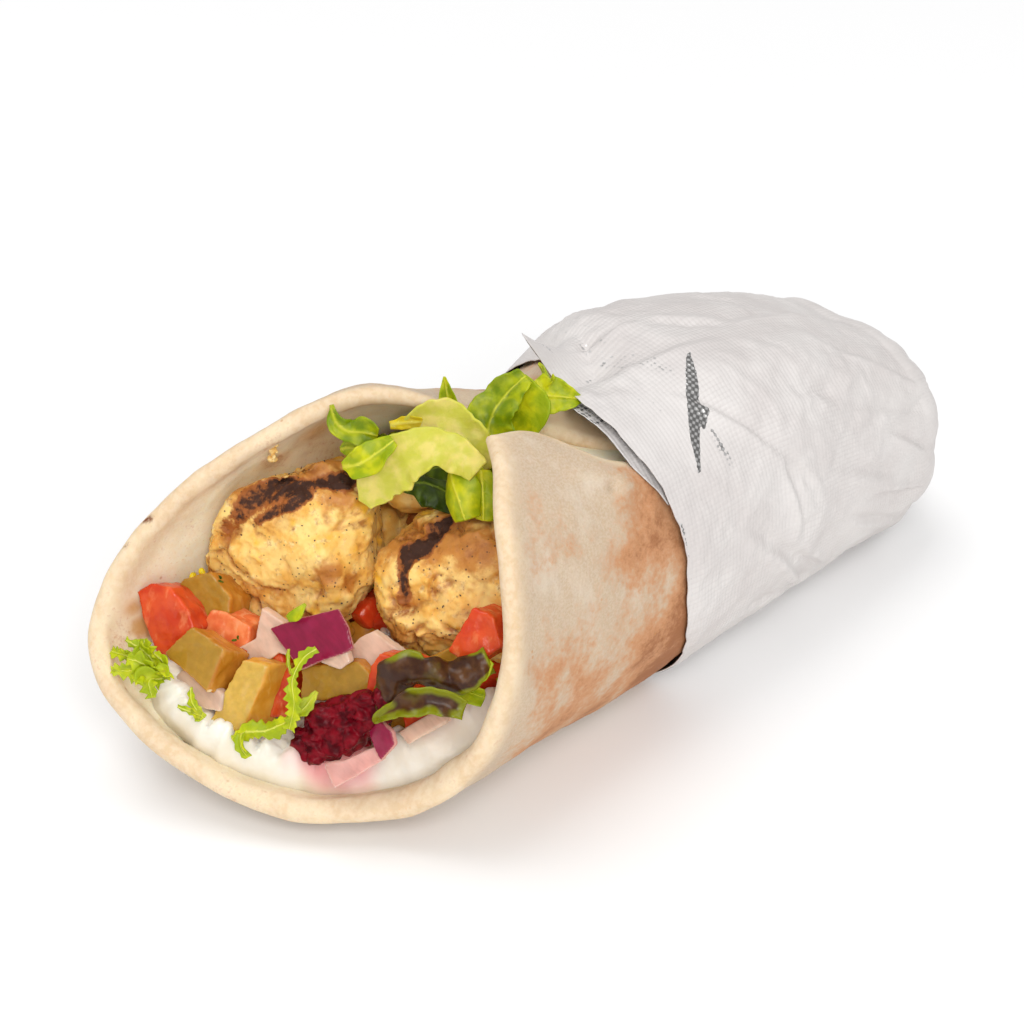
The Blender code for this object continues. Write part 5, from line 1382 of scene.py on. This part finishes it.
def make_heaps():
    core("chicken_heap", "chicken_filling", LOOKS["chicken"], 1.2)
    core("salad_heap", "salad_filling", LOOKS["pickle"], 1.6)
    core("lettuce_heap", "lettuce_filling", LOOKS["green"], 2.6)
    spots, facing, dice = surface_spots("chicken_filling", 26, 411, 84)
    sources = []
    for spot, way in zip(spots, facing):
        made, quads = rounded_box(np.array((13, 9, 7)) * (0.7 + 0.6 * dice.rand(3)), turned(dice), spot - way * 2.6, 9, 3)
        mesh = bpy.data.meshes.new("lump")
        mesh.from_pydata(((made + SHIFT) * MM).tolist(), [], quads.tolist())
        sources.append(mesh)
    torn = remeshed("chicken_lumps", sources, 0.7, 5, 0.6)
    points, out = points_of(torn.data), normals_of(torn.data)
    shreds = ridged(points @ np.array(((0.9, 0.3, 0.2), (-0.3, 0.9, 0.1), (-0.1, -0.2, 1))) / (2.4, 1, 1), 4, 3, 412) - 0.6
    move_points(torn.data, points + out * (0.8 * noise(points, 6, 413) + 0.6 * shreds)[:, None])
    # crevice again marks the torn grooves for painted shade.
    masks = {"char": 0.75 * ease(noise(points, 9, 414), 0.35, 0.6), "brown": ease(noise(points, 7, 415), 0, 0.6),
             "crevice": ease(-shreds, 0.1, 0.7)}
    dress(torn, LOOKS["chicken"], (), masks)
    for mesh in sources:
        bpy.data.meshes.remove(mesh)
    scatter("salad_tomato_bits", "salad_filling", "tomato", "tomato", 26, 421, 78, (7, 6, 5.5), 1.6)
    scatter("salad_pickle_bits", "salad_filling", "pickle", "pickle", 24, 422, 78, (7, 6, 5), 1.6)
    scatter("salad_onion_bits", "salad_filling", "onion", "onion", 30, 423, 78, (7, 5, 2), 0.8)
    spots, facing, dice = surface_spots("salad_filling", 16, 424, 76)
    sheets = [shred(spot, way, dice, 500 + 9 * i) for i, (spot, way) in enumerate(zip(spots, facing))]
    make_leaf("salad_leaf_bits", (), "bright", sheets)
    spots, facing, dice = surface_spots("lettuce_filling", 22, 431, 100)
    sheets = [shred(spot, way, dice, 700 + 9 * i) for i, (spot, way) in enumerate(zip(spots, facing))]
    make_leaf("lettuce_shreds", (), "green", sheets)


def shred(spot, way, dice, seed):
    """Settings for one short strip of leaf lying on a heap."""
    along = np.cross(way, dice.randn(3))
    along = along / np.linalg.norm(along) * (5 + 4 * dice.rand())
    places = [spot + way * lift + along * t - MOUTH_MIDDLE for t, lift in ((-1, 0.2), (0, 1.2), (1, 0.2))]
    rows = [(i / 2, q @ MOUTH_ACROSS, q @ MOUTH_UP, q @ MOUTH_OUT, half, 20 * dice.randn())
            for i, (q, half) in enumerate(zip(places, (1.0, 3.2, 1.4)))]
    facing = (way @ MOUTH_ACROSS, way @ MOUTH_UP, way @ MOUTH_OUT)
    return dict(spine=tuple(rows), face=facing, cup=0.3, ruffle=0.9, seed=seed, rows=44, columns=26, rib=0.6, veins=3.0)


# ---------------------------------------------------------------- small things

def specks(name, look, spots, size, seed):
    """Many tiny crumbs of one kind as one piece."""
    dice = np.random.RandomState(seed)
    points, faces, total = [], [], 0
    for spot in spots:
        made, quads = rounded_box(np.array(size) * (0.5 + dice.rand(3)), turned(dice), spot, 5, 2.6)
        points.append(made + 0.12 * size[0] * np.stack([noise(made, size[0] * 0.6, seed + i) for i in range(3)], -1))
        faces.append(quads + total)
        total += len(made)
    return make_piece(name, np.concatenate(points), np.concatenate(faces), LOOKS[look])


def make_specks():
    dice = np.random.RandomState(601)
    spread = [mouth(a, u, -13.6) for a, u in dice.randn(11, 2) * (0.8, 1.5) + (-19.4, 39.6)]
    specks("bread_crumbs", "crumb", spread, (1.5, 1.2, 1.0), 602)
    seeds = [mouth(-18.6, -13.2, 1.6)]
    specks("sesame_seed", "seed", seeds, (2.0, 1.2, 0.7), 603)
    specks("yellow_bits", "yellow", [mouth(-33.4, 6.8, -13.4), mouth(-31.6, 8.8, -13.8)], (3.6, 2.6, 1.6), 605)
    herbs = [mouth(a, u, o) for a, u, o in ((-17.4, -2.2, -4.4), (-16.6, -1.4, -4.4), (-26, 9.4, -11), (-25.4, 8.6, -10.6))]
    specks("herb_bits", "dark", herbs, (1.5, 1.0, 0.5), 606)
    flecks = []
    for obj_name in ("chicken_chunk_left", "chicken_chunk_right"):
        mesh = bpy.data.objects[obj_name].data
        points = points_of(mesh)
        picked = dice.choice(len(points), 150)
        flecks += list(points[picked])
    specks("pepper_flecks", "pepper", flecks, (0.42, 0.36, 0.3), 604)


# ---------------------------------------------------------------- everything together

LOOKS = {}


def make_looks():
    LOOKS.update(
        chicken=chicken_look(),
        tomato=wet_look("tomato", (0.72, 0.085, 0.016), (0.60, 0.045, 0.008), (0.84, 0.26, 0.09), 5, 0.35,
                        (0.62, 0.05, 0.012)),
        tomato_pale=wet_look("tomato_pale", (0.88, 0.27, 0.09), (0.80, 0.17, 0.05), (0.92, 0.46, 0.22), 4, 0.35,
                             (0.80, 0.20, 0.06)),
        pickle=wet_look("pickle", (0.58, 0.25, 0.03), (0.48, 0.18, 0.012), (0.66, 0.36, 0.08), 5, 0.45, (0.36, 0.205, 0.022)),
        pickle_pale=wet_look("pickle_pale", (0.72, 0.36, 0.05), (0.66, 0.28, 0.02), (0.76, 0.44, 0.10), 5, 0.45,
                             (0.56, 0.37, 0.07)),
        purple=onion_look("onion_purple", (0.27, 0.008, 0.045), (0.72, 0.34, 0.30), 0.2),
        onion=onion_look("onion", (0.74, 0.50, 0.37), (0.80, 0.58, 0.44), 0.7),
        onion_pink=onion_look("onion_pink", (0.70, 0.36, 0.31), (0.74, 0.46, 0.38), 0.6),
        beet=beet_look(),
        rib=leaf_look("leaf_pale", (0.74, 0.63, 0.17), (0.88, 0.81, 0.42), (0.58, 0.56, 0.07)),
        bright=leaf_look("leaf_bright", (0.55, 0.55, 0.005), (0.74, 0.70, 0.07), (0.28, 0.36, 0.002)),
        green=leaf_look("leaf_green", (0.42, 0.46, 0.003), (0.64, 0.62, 0.05), (0.16, 0.24, 0.001)),
        dark=leaf_look("leaf_dark", (0.08, 0.13, 0.003), (0.20, 0.28, 0.02), (0.03, 0.055, 0.002)),
        yellow=leaf_look("leaf_yellow", (0.80, 0.62, 0.02), (0.85, 0.76, 0.16), (0.60, 0.46, 0.01)),
        frisee=leaf_look("frisee", (0.54, 0.58, 0.008), (0.80, 0.78, 0.18), (0.32, 0.40, 0.004)),
        lollo=leaf_look("lollo", (0.10, 0.038, 0.010), (0.21, 0.22, 0.004), (0.045, 0.014, 0.006), 0.25),
        crumb=plain_look("crumb", (0.86, 0.64, 0.28), (0.74, 0.44, 0.12), 1.2, 0.6),
        pepper=plain_look("pepper", (0.03, 0.018, 0.012), (0.09, 0.05, 0.03), 0.5, 0.6),
        seed=plain_look("seed", (0.80, 0.62, 0.36), (0.70, 0.48, 0.22), 0.8, 0.35),
    )


def make_fillings():
    make_chicken("chicken_chunk_left", ["chicken_left"], 0.5, LEFT_CHAR, LEFT_BROWN, 50)
    make_chicken("chicken_chunk_right", ["chicken_right"], 0.5, RIGHT_CHAR, RIGHT_BROWN, 150)
    make_chicken("chicken_bits", ["chicken_back", "chicken_middle"], 0.5, (), (), 250, 0.6)
    make_vegetables()
    make_beet()
    make_leaves()
    make_heaps()
    make_specks()


# ---------------------------------------------------------------- camera, light and floor

def add_camera():
    turn, rise = np.radians(CAMERA_AZIMUTH), np.radians(CAMERA_ELEVATION)
    back = Vector((np.sin(turn) * np.cos(rise), -np.cos(turn) * np.cos(rise), np.sin(rise)))
    lens = bpy.data.cameras.new("camera")
    lens.lens = CAMERA_LENS
    lens.clip_start = 0.01
    camera = bpy.data.objects.new("camera", lens)
    camera.location = Vector((CAMERA_TARGET + SHIFT) * MM) + back * CAMERA_DISTANCE * MM
    camera.rotation_euler = back.to_track_quat("Z", "Y").to_euler()
    bpy.context.scene.collection.objects.link(camera)
    bpy.context.scene.camera = camera


def add_lamp(name, place, size, power, colour=(1, 1, 1)):
    lamp = bpy.data.lights.new(name, "AREA")
    lamp.size = size
    lamp.energy = power
    lamp.color = colour
    obj = bpy.data.objects.new(name, lamp)
    obj.location = place
    obj.rotation_euler = Vector(place).to_track_quat("Z", "Y").to_euler()
    bpy.context.scene.collection.objects.link(obj)


def add_floor():
    bpy.ops.mesh.primitive_plane_add(size=8, location=(0, 0, -0.0004))
    floor = bpy.context.object
    floor.name = "floor"
    look = Look("floor", 0.9, Specular_IOR_Level=0.0)
    look.colour((0.93, 0.93, 0.93))
    floor.data.materials.append(look.material)


def light_scene():
    add_lamp("key", (-0.95, -1.45, 1.75), 1.1, 24.5)
    add_lamp("fill", (-1.3, -1.3, 0.55), 0.9, 4.8)
    add_lamp("top", (-0.2, 0.5, 2.4), 1.4, 19.0)
    world = bpy.data.worlds.new("studio")
    bpy.context.scene.world = world
    world.use_nodes = True
    background = world.node_tree.nodes["Background"]
    background.inputs["Color"].default_value = (1, 1, 1, 1)
    background.inputs["Strength"].default_value = 0.57
    bpy.context.scene.view_settings.view_transform = "Standard"


add_camera()
add_floor()
light_scene()
make_looks()
make_bread()
make_foil()
make_sauce()
make_fillings()
